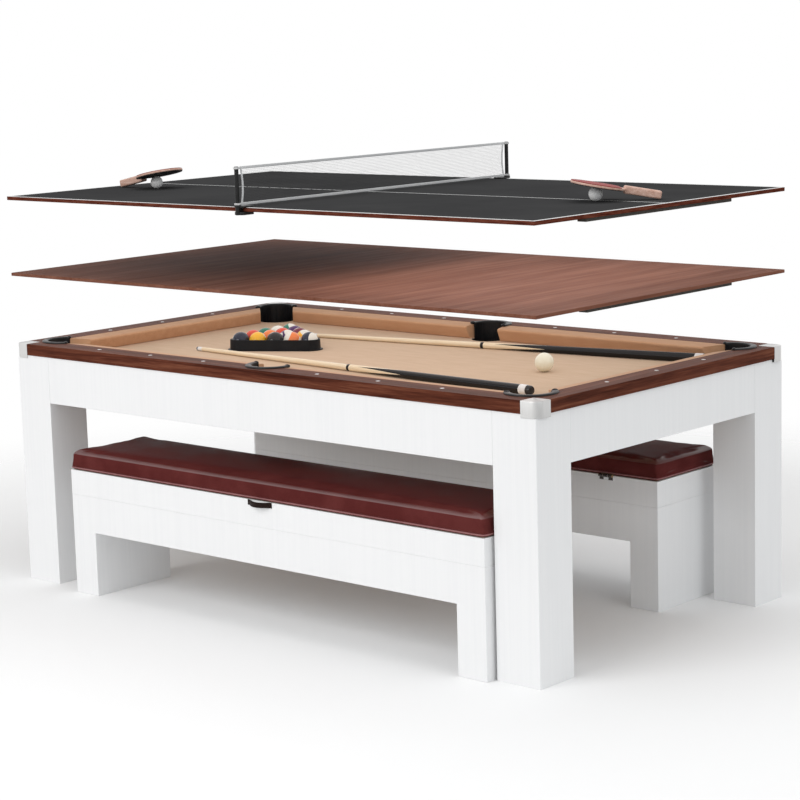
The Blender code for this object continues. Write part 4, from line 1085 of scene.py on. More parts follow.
@dataclass
class Rails(Part):
    """Walnut rails with their sights, and the metal caps at the corners."""

    half_length: float = 1.067
    half_width: float = 0.601
    top: float = 0.778
    bottom: float = 0.742
    ease: float = 0.0006
    play_length: float = 1.880
    play_width: float = 0.940
    sight_inset_long: float = 0.0434
    sight_inset_end: float = 0.0453
    sight_radius: float = 0.0065
    sight_rise: float = 0.0002
    cap_length: float = 0.058
    cap_width: float = 0.0565
    cap_radius: float = 0.028
    cap_hang: float = 0.010
    cap_wall: float = 0.0022
    cap_ease: float = 0.0016
    cap_gap: float = 0.0003
    cap_deck: float = 0.004
    rim_roll: float = 0.0004
    rim_height: float = 0.0008

    def dress(self) -> None:
        """Dress the rails and add the sights and caps."""
        for walnut, sides in ((WALNUT_X, ("front", "back")), (WALNUT_Y, ("left", "right"))):
            for side in sides:
                self.shop.dress(f"rail_{side}", walnut, self.ease)
        inputs = {"Radius": self.sight_radius, "Rise": self.sight_rise}
        self.shop.grow("rail_sights", self.sight_places(), stud_tree(), inputs, Body.TABLE,
                       "white_plastic", PEARL)
        for side_y, end in ((-1, "front"), (1, "back")):
            for side_x, hand in ((-1, "left"), (1, "right")):
                self.add_cap(f"{end}_{hand}", side_x, side_y)

    def sight_places(self) -> list[Vector]:
        """Middles of the eighteen sights."""
        places = []
        for side in (-1, 1):
            y = side * (self.half_width - self.sight_inset_long)
            for eighth in (-3, -2, -1, 1, 2, 3):
                places.append(Vector((self.play_length * eighth / 8, y, self.top)))
            x = side * (self.half_length - self.sight_inset_end)
            for quarter_way in (-1, 0, 1):
                places.append(Vector((x, self.play_width * quarter_way / 4, self.top)))
        return places

    def cap_outline(self, inset: float) -> list[Flat]:
        """Plan of a cap from its inner corner, drawn in on its outer sides."""
        sizes = (self.cap_length, self.cap_width, self.cap_radius)
        length, width, radius = (size - inset for size in sizes)
        bend = [(length - radius + radius * c, width - radius + radius * s) for s, c in quarter(16)]
        return [(self.cap_gap, self.cap_gap), (length, self.cap_gap), *bend, (self.cap_gap, width)]

    def add_cap(self, name: str, side_x: int, side_y: int) -> None:
        """Add one corner cap, an open shell with a rounded upper edge and a rolled lower rim.

        Args:
            name: Its corner.
            side_x: Its end of the table, -1 or 1.
            side_y: Its side of the table, -1 or 1.
        """
        inner = Vector((side_x * (self.half_length - self.cap_length),
                        side_y * (self.half_width - self.cap_width)))
        low, wall, roll = self.bottom - self.cap_hang, self.cap_wall, self.rim_roll
        levels = [(self.cap_ease * (1 - s), self.top - self.cap_ease * (1 - c)) for s, c in quarter(4)]
        levels += [(0.0, low + self.rim_height), (roll, low), (wall - roll, low),
                   (wall, low + self.rim_height), (wall, self.top - self.cap_deck)]

        def draw(bm: Draft) -> None:
            """Skin the cap's levels."""
            skin(bm, [[Vector((inner.x + side_x * x, inner.y + side_y * y, height))
                       for x, y in self.cap_outline(inset)] for inset, height in levels])

        self.shop.build(f"corner_cap_metal_{name}", draw, Body.TABLE, "cap_aluminium", ALUMINIUM,
                        (f"corner_cap_{name}",))


@dataclass
class PlayField(Part):
    """Cloth bed and the six rail cushions."""

    bed_top: float = 0.730
    rail_top: float = 0.778
    nose_x: float = 0.940
    nose_y: float = 0.470
    cloth_x: float = 0.990
    cloth_y: float = 0.524
    nose_height: float = 0.0410
    nose_thickness: float = 0.006
    nose_depth: float = 0.0055
    nose_round: float = 0.0028
    cloth_ease: float = 0.0012
    undercut: float = 0.016
    gap: float = 0.0003
    cutback: float = 0.080
    mouth_nose: float = 0.066
    mouth_back: float = 0.0605
    pocket_out: float = 0.015
    pocket_reach: float = 0.0595
    steps: int = 14

    def dress(self) -> None:
        """Dress the bed and build the cushions."""
        self.shop.dress("playing_bed", BED_CLOTH)
        middle = (self.mouth_nose, self.mouth_back)
        side = (self.nose_x - self.cutback, self.jaw_back(self.nose_x, self.nose_y, self.cloth_y))
        end = (self.nose_y - self.cutback, self.jaw_back(self.nose_y, self.nose_x, self.cloth_x))
        long, short = (self.nose_y, self.cloth_y), (self.nose_x, self.cloth_x)
        spots = (
            ("front_left", long, pi, (middle, 1), (side, 1)),
            ("front_right", long, pi, (side, -1), (middle, -1)),
            ("back_left", long, 0.0, (side, -1), (middle, -1)),
            ("back_right", long, 0.0, (middle, 1), (side, 1)),
            ("left", short, pi / 2, (end, -1), (end, 1)),
            ("right", short, -pi / 2, (end, -1), (end, 1)),
        )
        for spot in spots:
            self.add_cushion(*spot)

    def jaw_back(self, along: float, across: float, back: float) -> float:
        """Where a cushion's back ends beside a corner pocket."""
        off = back - across - self.pocket_out
        return along + self.pocket_out - sqrt(self.pocket_reach ** 2 - off ** 2)

    def add_cushion(self, name: str, depths: Flat, turn: float, first: tuple[Flat, int],
                    last: tuple[Flat, int]) -> None:
        """Add one rail cushion.

        Args:
            name: Its place.
            depths: Distance of its nose and of its back from the middle.
            turn: Its turn round the middle of the table.
            first: Nose and back of its first end, and their side.
            last: Nose and back of its last end, and their side.
        """
        nose, back = depths
        depth = back - nose - self.gap
        corners = [(self.undercut, self.gap), (depth, self.gap), (depth, self.rail_top - self.bed_top),
                   (self.nose_depth, self.nose_height + 0.0015), (0.0, self.nose_height - 0.001),
                   (0.0, self.nose_height - self.nose_thickness)]
        section = rounded(corners, self.nose_round, 4)
        place = Matrix.Rotation(turn, 4, "Z")

        def end_at(end: tuple[Flat, int], run: float) -> float:
            """Where an end lies at a depth."""
            (at_nose, at_back), side = end
            return side * (at_nose + (at_back - at_nose) * run / depth)

        def draw(bm: Draft) -> None:
            """Skin the cushion from one slanted end to the other."""
            rings = []
            for t in (step / self.steps for step in range(self.steps + 1)):
                ring = []
                for run, height in section:
                    x = end_at(first, run) * (1 - t) + end_at(last, run) * t
                    ring.append(place @ Vector((x, nose + run, self.bed_top + height)))
                rings.append(ring)
            skin(bm, rings)

        piece = self.shop.build(f"rail_cushion_{name}", draw, Body.TABLE, "cloth", RAIL_CLOTH,
                                (f"cushion_{name}",), 50.0)
        bevel(piece, "cloth_edge", self.cloth_ease, 50)


@dataclass
class Pockets(Part):
    """Six pocket liners: a cup, the wall round it, a raised rim with knobbed ends, and ribs."""

    rail_top: float = 0.778
    radius: float = 0.0585
    wall: float = 0.003
    bottom: float = 0.645
    lip: float = 0.7285
    rim_reach: float = 0.0745
    rim_rise: float = 0.0040
    rim_gap: float = 0.0004
    rim_edge: float = 0.0008
    mouth: float = 0.006
    round: float = 0.012
    drain: float = 0.0005
    steps: int = 56
    knob_width: float = 0.0060
    knob_height: float = 0.0052
    knob_lift: float = 0.0022
    bead_radius: float = 0.0024
    rib_radius: float = 0.0012
    rib_foot: float = 0.016
    rib_head: float = 0.006
    ribs: int = 9
    skin_gap: float = 0.0002
    spots: tuple[tuple[str, float, float, float], ...] = (
        ("front_left", -0.955, -0.485, pi / 4),
        ("front_right", 0.955, -0.485, 3 * pi / 4),
        ("back_left", -0.955, 0.485, -pi / 4),
        ("back_right", 0.955, 0.485, -3 * pi / 4),
        ("front_middle", 0.0, -0.510, pi / 2),
        ("back_middle", 0.0, 0.510, -pi / 2),
    )

    @property
    def inner(self) -> float:
        """Radius inside the wall."""
        return self.radius - self.wall

    def rim_section(self) -> list[Flat]:
        """Section of the wall over the bed and the rim on the rails, radius and height."""
        seat = self.rail_top + self.rim_gap
        middle, reach = (self.inner + self.rim_reach) / 2, (self.rim_reach - self.inner) / 2
        section = [(self.radius, self.lip), (self.radius, seat), (self.rim_reach - 0.001, seat)]
        for step in range(13):
            angle = pi * step / 12
            lift = self.rim_rise * abs(sin(angle)) ** 0.7
            section.append((middle + reach * cos(angle), seat + self.rim_edge + lift))
        return [*section, (self.inner, seat - 0.002), (self.inner, self.lip)]

    def cup_profile(self) -> list[Flat]:
        """Half section of the cup under the bed."""
        floor = self.bottom + self.wall
        outside = [(self.radius - self.round * (1 - s), self.bottom + self.round * (1 - c))
                   for s, c in quarter(6)]
        inside = [(self.inner - self.round * (1 - s), floor + self.round * (1 - c)) for s, c in quarter(6)]
        return [(self.drain, self.bottom), *outside, (self.radius, self.lip), (self.inner, self.lip),
                *reversed(inside), (self.drain, floor)]

    def dress(self) -> None:
        """Build the six liners."""
        for name, x, y, turn in self.spots:
            self.add_liner(name, Vector((x, y, 0)), turn)

    def add_liner(self, name: str, centre: Vector, turn: float) -> None:
        """Add one liner, open on its mouth side.

        Args:
            name: Its pocket.
            centre: Middle of the pocket, on the floor.
            turn: Direction of its mouth.
        """
        open_to = pi / 2 - asin(self.mouth / self.radius)
        closed = 2 * pi - 2 * open_to

        def draw(bm: Draft) -> None:
            """Skin the cup, the rim, its knobs and its ribs."""
            lathe(bm, self.cup_profile(), 64, tuple(centre))
            rings = []
            for step in range(self.steps + 1):
                out = heading(turn + open_to + closed * step / self.steps)
                rings.append([centre + out * r + upward(z) for r, z in self.rim_section()])
            skin(bm, rings)
            for side in (-1, 1):
                self.end_rim(bm, centre, turn + side * open_to)
            for rib in range(self.ribs):
                out = heading(turn + open_to + closed * (rib + 0.5) / self.ribs)
                foot = centre + out * (self.inner + self.skin_gap)
                ends = (self.bottom + self.rib_foot, self.rail_top - self.rib_head)
                sweep(bm, [foot + upward(z) for z in ends], circle(self.rib_radius, 8), Vector((1, 0, 0)))

        self.shop.build(f"pocket_liner_{name}", draw, Body.TABLE, "black_plastic", BLACK_PLASTIC,
                        (f"pocket_{name}",), 40.0)

    def end_rim(self, bm: Draft, centre: Vector, angle: float) -> None:
        """Close one end of the rim with a knob, and the wall's edge under it with a bead.

        Args:
            bm: Mesh that takes them.
            centre: Middle of the pocket.
            angle: Where the rim ends.
        """
        out = heading(angle)
        spot = centre + out * ((self.inner + self.rim_reach) / 2) + upward(self.rail_top + self.knob_lift)
        size = Vector(((self.rim_reach - self.inner) / 2, self.knob_width, self.knob_height))
        knob = bmesh.ops.create_uvsphere(bm, u_segments=20, v_segments=12, radius=1.0)["verts"]
        shape = Matrix.LocRotScale(spot, Matrix.Rotation(angle, 3, "Z").to_quaternion(), size)
        bmesh.ops.transform(bm, matrix=shape, verts=knob)
        edge = centre + out * (self.radius - self.wall / 2)
        sweep(bm, [edge + upward(self.lip + self.skin_gap), edge + upward(self.rail_top)],
              circle(self.bead_radius, 12), Vector((1, 0, 0)))


BLUE, YELLOW, RED = (0.016, 0.022, 0.045), (0.900, 0.480, 0.030), (0.700, 0.070, 0.030)
PURPLE, ORANGE, GREEN = (0.070, 0.014, 0.110), (0.850, 0.230, 0.060), (0.020, 0.190, 0.120)
CLARET, BLACK, IVORY = (0.180, 0.018, 0.040), (0.008, 0.008, 0.009), (0.900, 0.870, 0.700)


@dataclass
class Games(Part):
    """Racked balls, rack, cue ball and the two cues on the bed."""

    bed_top: float = 0.730
    radius: float = 0.028575
    gap: float = 0.0003
    dot: float = 0.33
    apex: Flat = (-0.352, 0.024)
    rows: int = 5
    cue_ball: Flat = (0.582, 0.053)
    rack_inner: float = 0.0299
    rack_wall: float = 0.005
    rack_height: float = 0.035
    rack_lean: float = 0.0012
    rack_round: float = 0.0011
    flange_width: float = 0.008
    flange_height: float = 0.003
    tip_radius: float = 0.0065
    butt_radius: float = 0.0145
    right: Vector = field(default_factory=lambda: Vector((0.746, 0.666, 0)))
    toward: Vector = field(default_factory=lambda: Vector((0.656, -0.736, 0.167)))

    def ball_looks(self) -> list[tuple[int, int, Colour, Spot | None, Spot]]:
        """Row, place, colour, stripe's axis and dot of each racked ball, seen from the front right."""
        return [
            (4, 0, BLUE, None, (-0.8, 0.3, -0.5)),
            (3, 0, YELLOW, None, (0.3, 0.2, -0.9)),
            (2, 0, BLACK, None, (0.2, -0.5, -0.8)),
            (1, 0, ORANGE, (-0.80, 0.45, 0.05), (-0.35, -0.60, 0.70)),
            (0, 0, BLUE, (0.80, 0.10, 0.55), (0.1, 0.9, -0.3)),
            (4, 1, RED, None, (0.4, -0.2, -0.9)),
            (3, 1, ORANGE, None, (-0.2, 0.3, -0.9)),
            (2, 1, PURPLE, (0.60, 0.60, 0.30), (0.5, -0.5, -0.5)),
            (1, 1, YELLOW, (0.50, 0.75, 0.20), (-0.7, 0.3, -0.4)),
            (4, 2, GREEN, None, (0.3, 0.1, -0.9)),
            (3, 2, RED, (0.10, -0.60, 0.80), (0.9, 0.3, -0.4)),
            (2, 2, CLARET, None, (-0.3, 0.85, 0.30)),
            (4, 3, CLARET, (-0.30, 0.85, 0.30), (0.8, 0.2, -0.4)),
            (3, 3, PURPLE, None, (0.1, -0.3, -0.9)),
            (4, 4, GREEN, (0.70, 0.55, 0.20), (-0.3, 0.6, -0.6)),
        ]

    def turn_of(self, axis: Spot, dot: Spot) -> Spot:
        """Turn of a ball whose stripe's axis and dot point to places seen by the viewer.

        Args:
            axis: Right, up and toward parts of the stripe's axis.
            dot: The same of its dot.

        Returns:
            The turn, as three angles.
        """
        z = (self.right * axis[0] + upward(1) * axis[1] + self.toward * axis[2]).normalized()
        x = self.right * dot[0] + upward(1) * dot[1] + self.toward * dot[2]
        x = (x - z * x.dot(z)).normalized()
        return tuple(Matrix((x, z.cross(x), z)).transposed().to_euler())

    def add_ball(self, name: str, spot: Flat, colour: Colour, striped: bool, turn: Spot,
                 slot: str, node: str, dot: float) -> None:
        """Add one ball with its own resin.

        Args:
            name: Name of the piece.
            spot: Where it lies on the bed.
            colour: Colour of the ball or of its stripe.
            striped: Whether it is white with a stripe.
            turn: Its turn.
            slot: Material slot of the record.
            node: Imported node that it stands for.
            dot: Size of its two dots against its radius.
        """
        centre = (*spot, self.bed_top + self.gap + self.radius)
        finish = BallResin(f"{name}_resin", colour, striped, centre, turn, self.radius, dot)
        self.shop.build(name, lambda bm: ball(bm, self.radius, centre), Body.TABLE, slot, finish,
                        (node,), 180.0)

    def dress(self) -> None:
        """Build the balls, the rack and the cues."""
        for number, (row, place, colour, axis, dot) in enumerate(self.ball_looks(), 1):
            spot = (self.apex[0] - row * 2 * self.radius * sin(pi / 3),
                    self.apex[1] + (place - row / 2) * 2 * self.radius)
            turn = self.turn_of(axis or (0, 0, 1), dot)
            self.add_ball(f"pool_ball_{number:02d}", spot, colour, axis is not None, turn,
                          "ball_resin", "racked_balls", self.dot)
        self.add_ball("cue_ball_ivory", self.cue_ball, IVORY, False, (0, 0, 0), "ivory_resin",
                      "cue_ball", 0.0)
        self.add_rack()
        self.add_cue("near", (-0.660, -0.182), (0.814, -0.302), 0.490)
        self.add_cue("far", (-0.550, 0.236), (0.905, 0.437), 0.457)

    def add_rack(self) -> None:
        """Add the rack: one section of wall and flange carried round the triangle."""
        side = (self.rows - 1) * 2 * self.radius
        height = side * sin(pi / 3)
        corners = ((0.0, 0.0), (-height, side / 2), (-height, -side / 2))
        outer = self.rack_inner + self.rack_wall
        flange = outer + self.flange_width
        section = rounded([(self.rack_inner, self.gap), (flange, self.gap), (flange, self.flange_height),
                           (outer + self.rack_lean, self.flange_height + 0.0006), (outer, self.rack_height),
                           (self.rack_inner, self.rack_height)], self.rack_round, 3)

        def draw(bm: Draft) -> None:
            """Carry the section round the three corners."""
            rings = []
            for index, (x, y) in enumerate(corners):
                base = Vector((self.apex[0] + x, self.apex[1] + y, self.bed_top))
                for step in range(13):
                    out = heading(2 * pi / 3 * (index - 0.5 + step / 12))
                    rings.append([base + out * run + upward(rise) for run, rise in section])
            skin(bm, rings, loop=True)

        self.shop.build("triangle_rack", draw, Body.TABLE, "rack_plastic", RACK_PLASTIC,
                        ("ball_rack",), 40.0)

    def add_cue(self, name: str, tip: Flat, end: Flat, joint_share: float) -> None:
        """Add one cue, from its chalked tip to its bumper.

        Args:
            name: Its place on the bed.
            tip: Where its tip lies.
            end: Where its bumper lies.
            joint_share: Share of its length at which its joint sits.
        """
        run = Vector(end) - Vector(tip)
        length = run.length
        rise = (self.butt_radius - self.tip_radius) / length
        axis = Vector((run.x, run.y, length * rise)).normalized()
        start = Vector((*tip, self.bed_top + self.gap + self.tip_radius))
        finish = CueFinish(f"cue_finish_{name}", length, length * joint_share)
        points = self.cue_profile(finish)

        def draw(bm: Draft) -> None:
            """Turn the cue, with its UV map's height at the true share of its length."""
            lathe(bm, points, 40, tuple(start), axis)
            layer = bm.loops.layers.uv.verify()
            for face in bm.faces:
                for corner in face.loops:
                    corner[layer].uv.y = (corner.vert.co - start).dot(axis) / length

        self.shop.build(f"pool_cue_{name}", draw, Body.TABLE, "cue_maple", finish, (f"cue_{name}",), 40.0)

    def cue_profile(self, cue: CueFinish) -> list[Flat]:
        """Half section of a cue: its tip, its taper with the joint ring, its cap and its bumper.

        Args:
            cue: Finish that holds the lengths of its zones.

        Returns:
            Radius and distance from the tip of each point.
        """
        length, joint, ring_end = cue.length, cue.joint, cue.joint + cue.ring

        def taper(along: float) -> float:
            """Radius of the cue at a distance from its tip."""
            share = along / length
            swell = self.butt_radius - self.tip_radius
            return self.tip_radius + swell * (0.25 * share + 0.75 * share ** 1.25)

        def on_taper(stops: Sequence[float]) -> list[Flat]:
            """Points of the taper."""
            return [(taper(stop), stop) for stop in stops]

        ring, butt = taper(joint) * 1.03, taper(length)
        shares = (0.0, 0.2, 0.4, 0.6, 0.8, 1.0)
        return [
            (0.0004, 0.0), (0.0030, 0.0004), (0.0052, 0.0018), (0.0062, 0.0040), (0.0062, cue.tip),
            *on_taper([cue.tip, cue.tip + cue.ferrule, 0.1, 0.25, 0.4, 0.55, joint]),
            (ring, joint + 0.0006), (ring, ring_end - 0.0006),
            *on_taper([ring_end + share * (length - cue.cap - joint - cue.ring) for share in shares]),
            (butt + 0.0002, length - cue.cap + 0.0005), (butt + 0.0002, length - cue.bumper - 0.0005),
            (butt - 0.0009, length - cue.bumper), (butt - 0.0009, length - 0.0050),
            (butt - 0.0030, length - 0.0012), (0.0060, length), (0.0004, length),
        ]


# The loose tops


@dataclass
class DiningTop(Part):
    """Walnut dining top and the felt pads under it."""

    pad_ease: float = 0.0015

    def dress(self) -> None:
        """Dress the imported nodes."""
        self.shop.dress("dining_top", DINING_WALNUT)
        for side in ("left", "right"):
            self.shop.dress(f"dining_pad_{side}", FELT, self.pad_ease)


@dataclass
class TennisTop(Part):
    """Painted tennis top with its pads, net, posts, paddles and balls."""

    half_length: float = 1.067
    half_width: float = 0.601
    top: float = 1.250
    thickness: float = 0.012
    pad_ease: float = 0.0015
    post_radius: float = 0.007
    post_offset: float = 0.016
    post_top: float = 1.368
    post_turn: float = 0.0008
    jaw_bottom: float = 1.2287
    jaw_top: float = 1.2543
    jaw_width: float = 0.038
    jaw_reach: float = 0.032
    strut: float = 0.0065
    collar_foot: float = 0.0105
    collar_head: float = 0.0085
    net_low: float = 1.256
    net_high: float = 1.368
    net_half: float = 0.6037
    tape: float = 0.008
    end_tape: float = 0.0065
    cord: float = 0.0013
    cord_loop: float = 0.0082
    cord_gap: float = 0.0014
    loop_inset: float = 0.0045
    columns: int = 261
    rows: int = 23
    strand: float = 0.00022
    wave: float = 0.0016
    slack: float = 0.007
    ball_radius: float = 0.020
    blade_length: float = 0.158
    blade_width: float = 0.150
    blade_thickness: float = 0.010
    rubber: float = 0.0020
    rubber_inset: float = 0.0012
    rubber_start: float = 0.016
    handle_length: float = 0.102
    handle_thickness: float = 0.024
    handle_neck: float = 0.025
    handle_end: float = 0.031
    handle_inset: float = 0.0004
    gap: float = 0.0003

    def dress(self) -> None:
        """Dress the top and build what it carries."""
        self.shop.dress("tennis_top", TennisPaint("tennis_paint", self.half_length, self.half_width))
        for side in ("left", "right"):
            self.shop.dress(f"tennis_pad_{side}", FELT, self.pad_ease)
        for name, side in (("front", -1), ("back", 1)):
            self.add_post(name, side)
            self.add_loops(name, side)
        self.add_tapes()
        self.add_strands()
        self.add_paddle("left", (-0.990, -0.174), 0.0, 0.163)
        self.add_paddle("right", (0.978, 0.089), radians(223.4), 0.183)

    def add_post(self, name: str, side: int) -> None:
        """Add one net post with its clamp.

        Args:
            name: Its side of the table.
            side: The same as a number, -1 or 1.
        """
        y = side * (self.half_width + self.post_offset)
        turn = Matrix.Rotation(0 if side > 0 else pi, 4, "Z")
        near, far = self.half_width - self.jaw_reach, self.half_width + self.post_offset + 0.001
        half = self.jaw_width / 2
        low, high, clamp = self.jaw_bottom, self.post_top, self.jaw_top
        wide, waist = self.post_radius, self.post_radius - self.post_turn
        post = [(0.001, low), (waist, low), (wide, low + 0.0008), (wide, clamp + 0.006),
                (waist, clamp + 0.007), (waist, high - 0.009), (wide, high - 0.008), (wide, high - 0.0015),
                (wide - 0.0015, high), (0.001, high)]
        jaw = rounded([(-half, near), (half, near), (half, far - 0.006), (half - 0.008, far),
                       (-half + 0.008, far), (-half, far - 0.006)], 0.005, 4)
        collar = [(0.001, clamp - 0.001), (self.collar_foot, clamp - 0.001),
                  (self.collar_foot, clamp + 0.002), (self.collar_head, clamp + 0.005),
                  (0.001, clamp + 0.005)]

        def draw(bm: Draft) -> None:
            """Turn the post and add its jaws, strut and collar."""
            lathe(bm, post, 28, (0, y, 0))
            for bottom, top in ((self.top + self.gap, clamp), (low, self.top - self.thickness - self.gap)):
                slab(bm, jaw, bottom, top, 0.0014, 3, turn)
            box(bm, (-self.strut, self.half_width + 0.0005, low + 0.001), (self.strut, far, clamp - 0.0004),
                0.0008, turn)
            lathe(bm, collar, 28, (0, y, 0))

        self.shop.build(f"net_clamp_{name}", draw, Body.TENNIS, "post_black", POST_BLACK,
                        (f"net_post_{name}",), 35.0)

    def add_loops(self, name: str, side: int) -> None:
        """Add the loops of white cord round one post, above and below.

        Args:
            name: Its side of the table.
            side: The same as a number, -1 or 1.
        """
        y = side * (self.half_width + self.post_offset)
        cord, reach = circle(self.cord, 8), self.cord_loop

        def draw(bm: Draft) -> None:
            """Sweep two rings and a tie at each height."""
            for height in (self.net_high - self.loop_inset, self.net_low + self.loop_inset):
                for lift in (-self.cord_gap, self.cord_gap):
                    turns = [2 * pi * i / 28 for i in range(28)]
                    path = [Vector((reach * cos(a), y + reach * sin(a), height + lift)) for a in turns]
                    sweep(bm, path, cord, loop=True)
                tie = side * (self.net_half - 0.004)
                sweep(bm, [Vector((0, tie, height)), Vector((0, y - side * reach, height))], cord)

        self.shop.build(f"net_loops_{name}", draw, Body.TENNIS, "net_grey", LOOP, (), 60.0)

    def add_tapes(self) -> None:
        """Add the folded tapes along the net's top and bottom, and the slack tapes at its ends."""
        band = rounded(rectangle(0.0014, self.tape / 2), 0.0012, 3)
        narrow = rounded(rectangle(self.end_tape / 2, 0.0012), 0.0010, 3)
        low, rise = self.net_low + 0.001, self.net_high - self.net_low - 0.002

        def draw(bm: Draft) -> None:
            """Sweep the four tapes."""
            for height in (self.net_high - self.tape / 2, self.net_low + self.tape / 2):
                path = [Vector((0, -self.net_half + 2 * self.net_half * i / 60, height)) for i in range(61)]
                sweep(bm, path, band)
            for side in (-1, 1):
                path = []
                for share in (i / 16 for i in range(17)):
                    y = side * (self.net_half - self.end_tape / 2 - self.slack * sin(pi * share))
                    path.append(Vector((0, y, low + rise * share)))
                sweep(bm, path, narrow, Vector((1, 0, 0)))

        self.shop.build("net_tapes", draw, Body.TENNIS, "net_grey", TAPE, ("net",), 40.0)

    def add_strands(self) -> None:
        """Add the netting between the tapes."""
        inner = self.net_half - self.end_tape
        low = self.net_low + self.tape - 0.001
        inputs = {"Width": 2 * inner - self.slack, "Height": self.net_high - self.tape + 0.001 - low,
                  "Columns": self.columns, "Rows": self.rows, "Strand": self.strand, "Wave": self.wave}
        self.shop.grow("net_strands", [upward(0)], netting_tree(), inputs, Body.TENNIS, "net_grey", CORD,
                       replaces=("net",), place=Matrix.Translation((0, -inner + self.slack / 2, low)))

    def blade_outline(self, inset: float = 0.0, cut: float | None = None) -> list[Flat]:
        """Outline of the blade from the end of its handle, cut square at a distance where asked."""
        middle = self.handle_length + self.blade_length / 2
        outline = []
        for index in range(72):
            angle = 2 * pi * index / 72
            x = middle + (self.blade_length / 2 - inset) * cos(angle)
            y = (self.blade_width / 2 - inset) * sin(angle) * (1 + 0.05 * cos(angle))
            outline.append((max(x, cut) if cut is not None else x, y))
        return outline

    def handle_outline(self) -> list[Flat]:
        """Outline of the handle, flared at its end."""
        neck, flare, far = self.handle_neck / 2, self.handle_end / 2, self.handle_length
        corners = [(0, -flare), (0.012, -flare * 0.98), (0.045, -neck), (far - 0.012, -neck),
                   (far + 0.006, -neck * 1.05), (far + 0.006, neck * 1.05), (far - 0.012, neck),
                   (0.045, neck), (0.012, flare * 0.98), (0, flare)]
        return rounded(corners, 0.006, 4)

    def add_paddle(self, name: str, end: Flat, turn: float, reach: float) -> None:
        """Add one paddle, propped on its handle's end and a small ball.

        Args:
            name: Its side.
            end: Middle of the handle's end on the top.
            turn: Direction of the paddle.
            reach: Distance from the handle's end to the ball.
        """
        step = (self.handle_thickness - self.blade_thickness) / 2
        drop = self.ball_radius + 2 * self.gap - step
        tilt = atan2(self.ball_radius, reach) + asin(drop / hypot(reach, self.ball_radius))
        place = (Matrix.Translation((*end, self.top + self.gap)) @ Matrix.Rotation(turn, 4, "Z")
                 @ Matrix.Rotation(-tilt, 4, "Y"))
        middle = step + self.blade_thickness / 2
        core = self.blade_thickness - 2 * self.rubber

        def wood(bm: Draft) -> None:
            """Ply blade and the two scales of the handle."""
            slab(bm, self.blade_outline(), middle - core / 2, middle + core / 2, 0.0012, 2, place)
            slab(bm, self.handle_outline(), self.handle_inset, self.handle_thickness - self.handle_inset,
                 0.0050, 5, place)

        def sheet(low: float, high: float) -> Callable[[Draft], None]:
            """Drawing of one rubber between two heights."""
            outline = self.blade_outline(self.rubber_inset, self.handle_length + self.rubber_start)
            return lambda bm: slab(bm, outline, low, high, 0.0006, 2, place)

        self.shop.build(f"paddle_wood_{name}", wood, Body.TENNIS, "paddle_wood", PLY,
                        (f"paddle_{name}",), 50.0)
        self.shop.build(f"paddle_rubber_top_{name}", sheet(middle + core / 2, step + self.blade_thickness),
                        Body.TENNIS, "black_plastic", RED_RUBBER, (), 50.0)
        self.shop.build(f"paddle_rubber_under_{name}", sheet(step, middle - core / 2), Body.TENNIS,
                        "black_plastic", BLACK_RUBBER, (), 50.0)
        spot = Vector(end) + reach * Vector((cos(turn), sin(turn)))
        centre = (spot.x, spot.y, self.top + self.gap + self.ball_radius)
        self.shop.build(f"small_ball_{name}", lambda bm: ball(bm, self.ball_radius, centre), Body.TENNIS,
                        "white_plastic", WHITE_SHELL, (f"tennis_ball_{name}",), 180.0)


# The benches


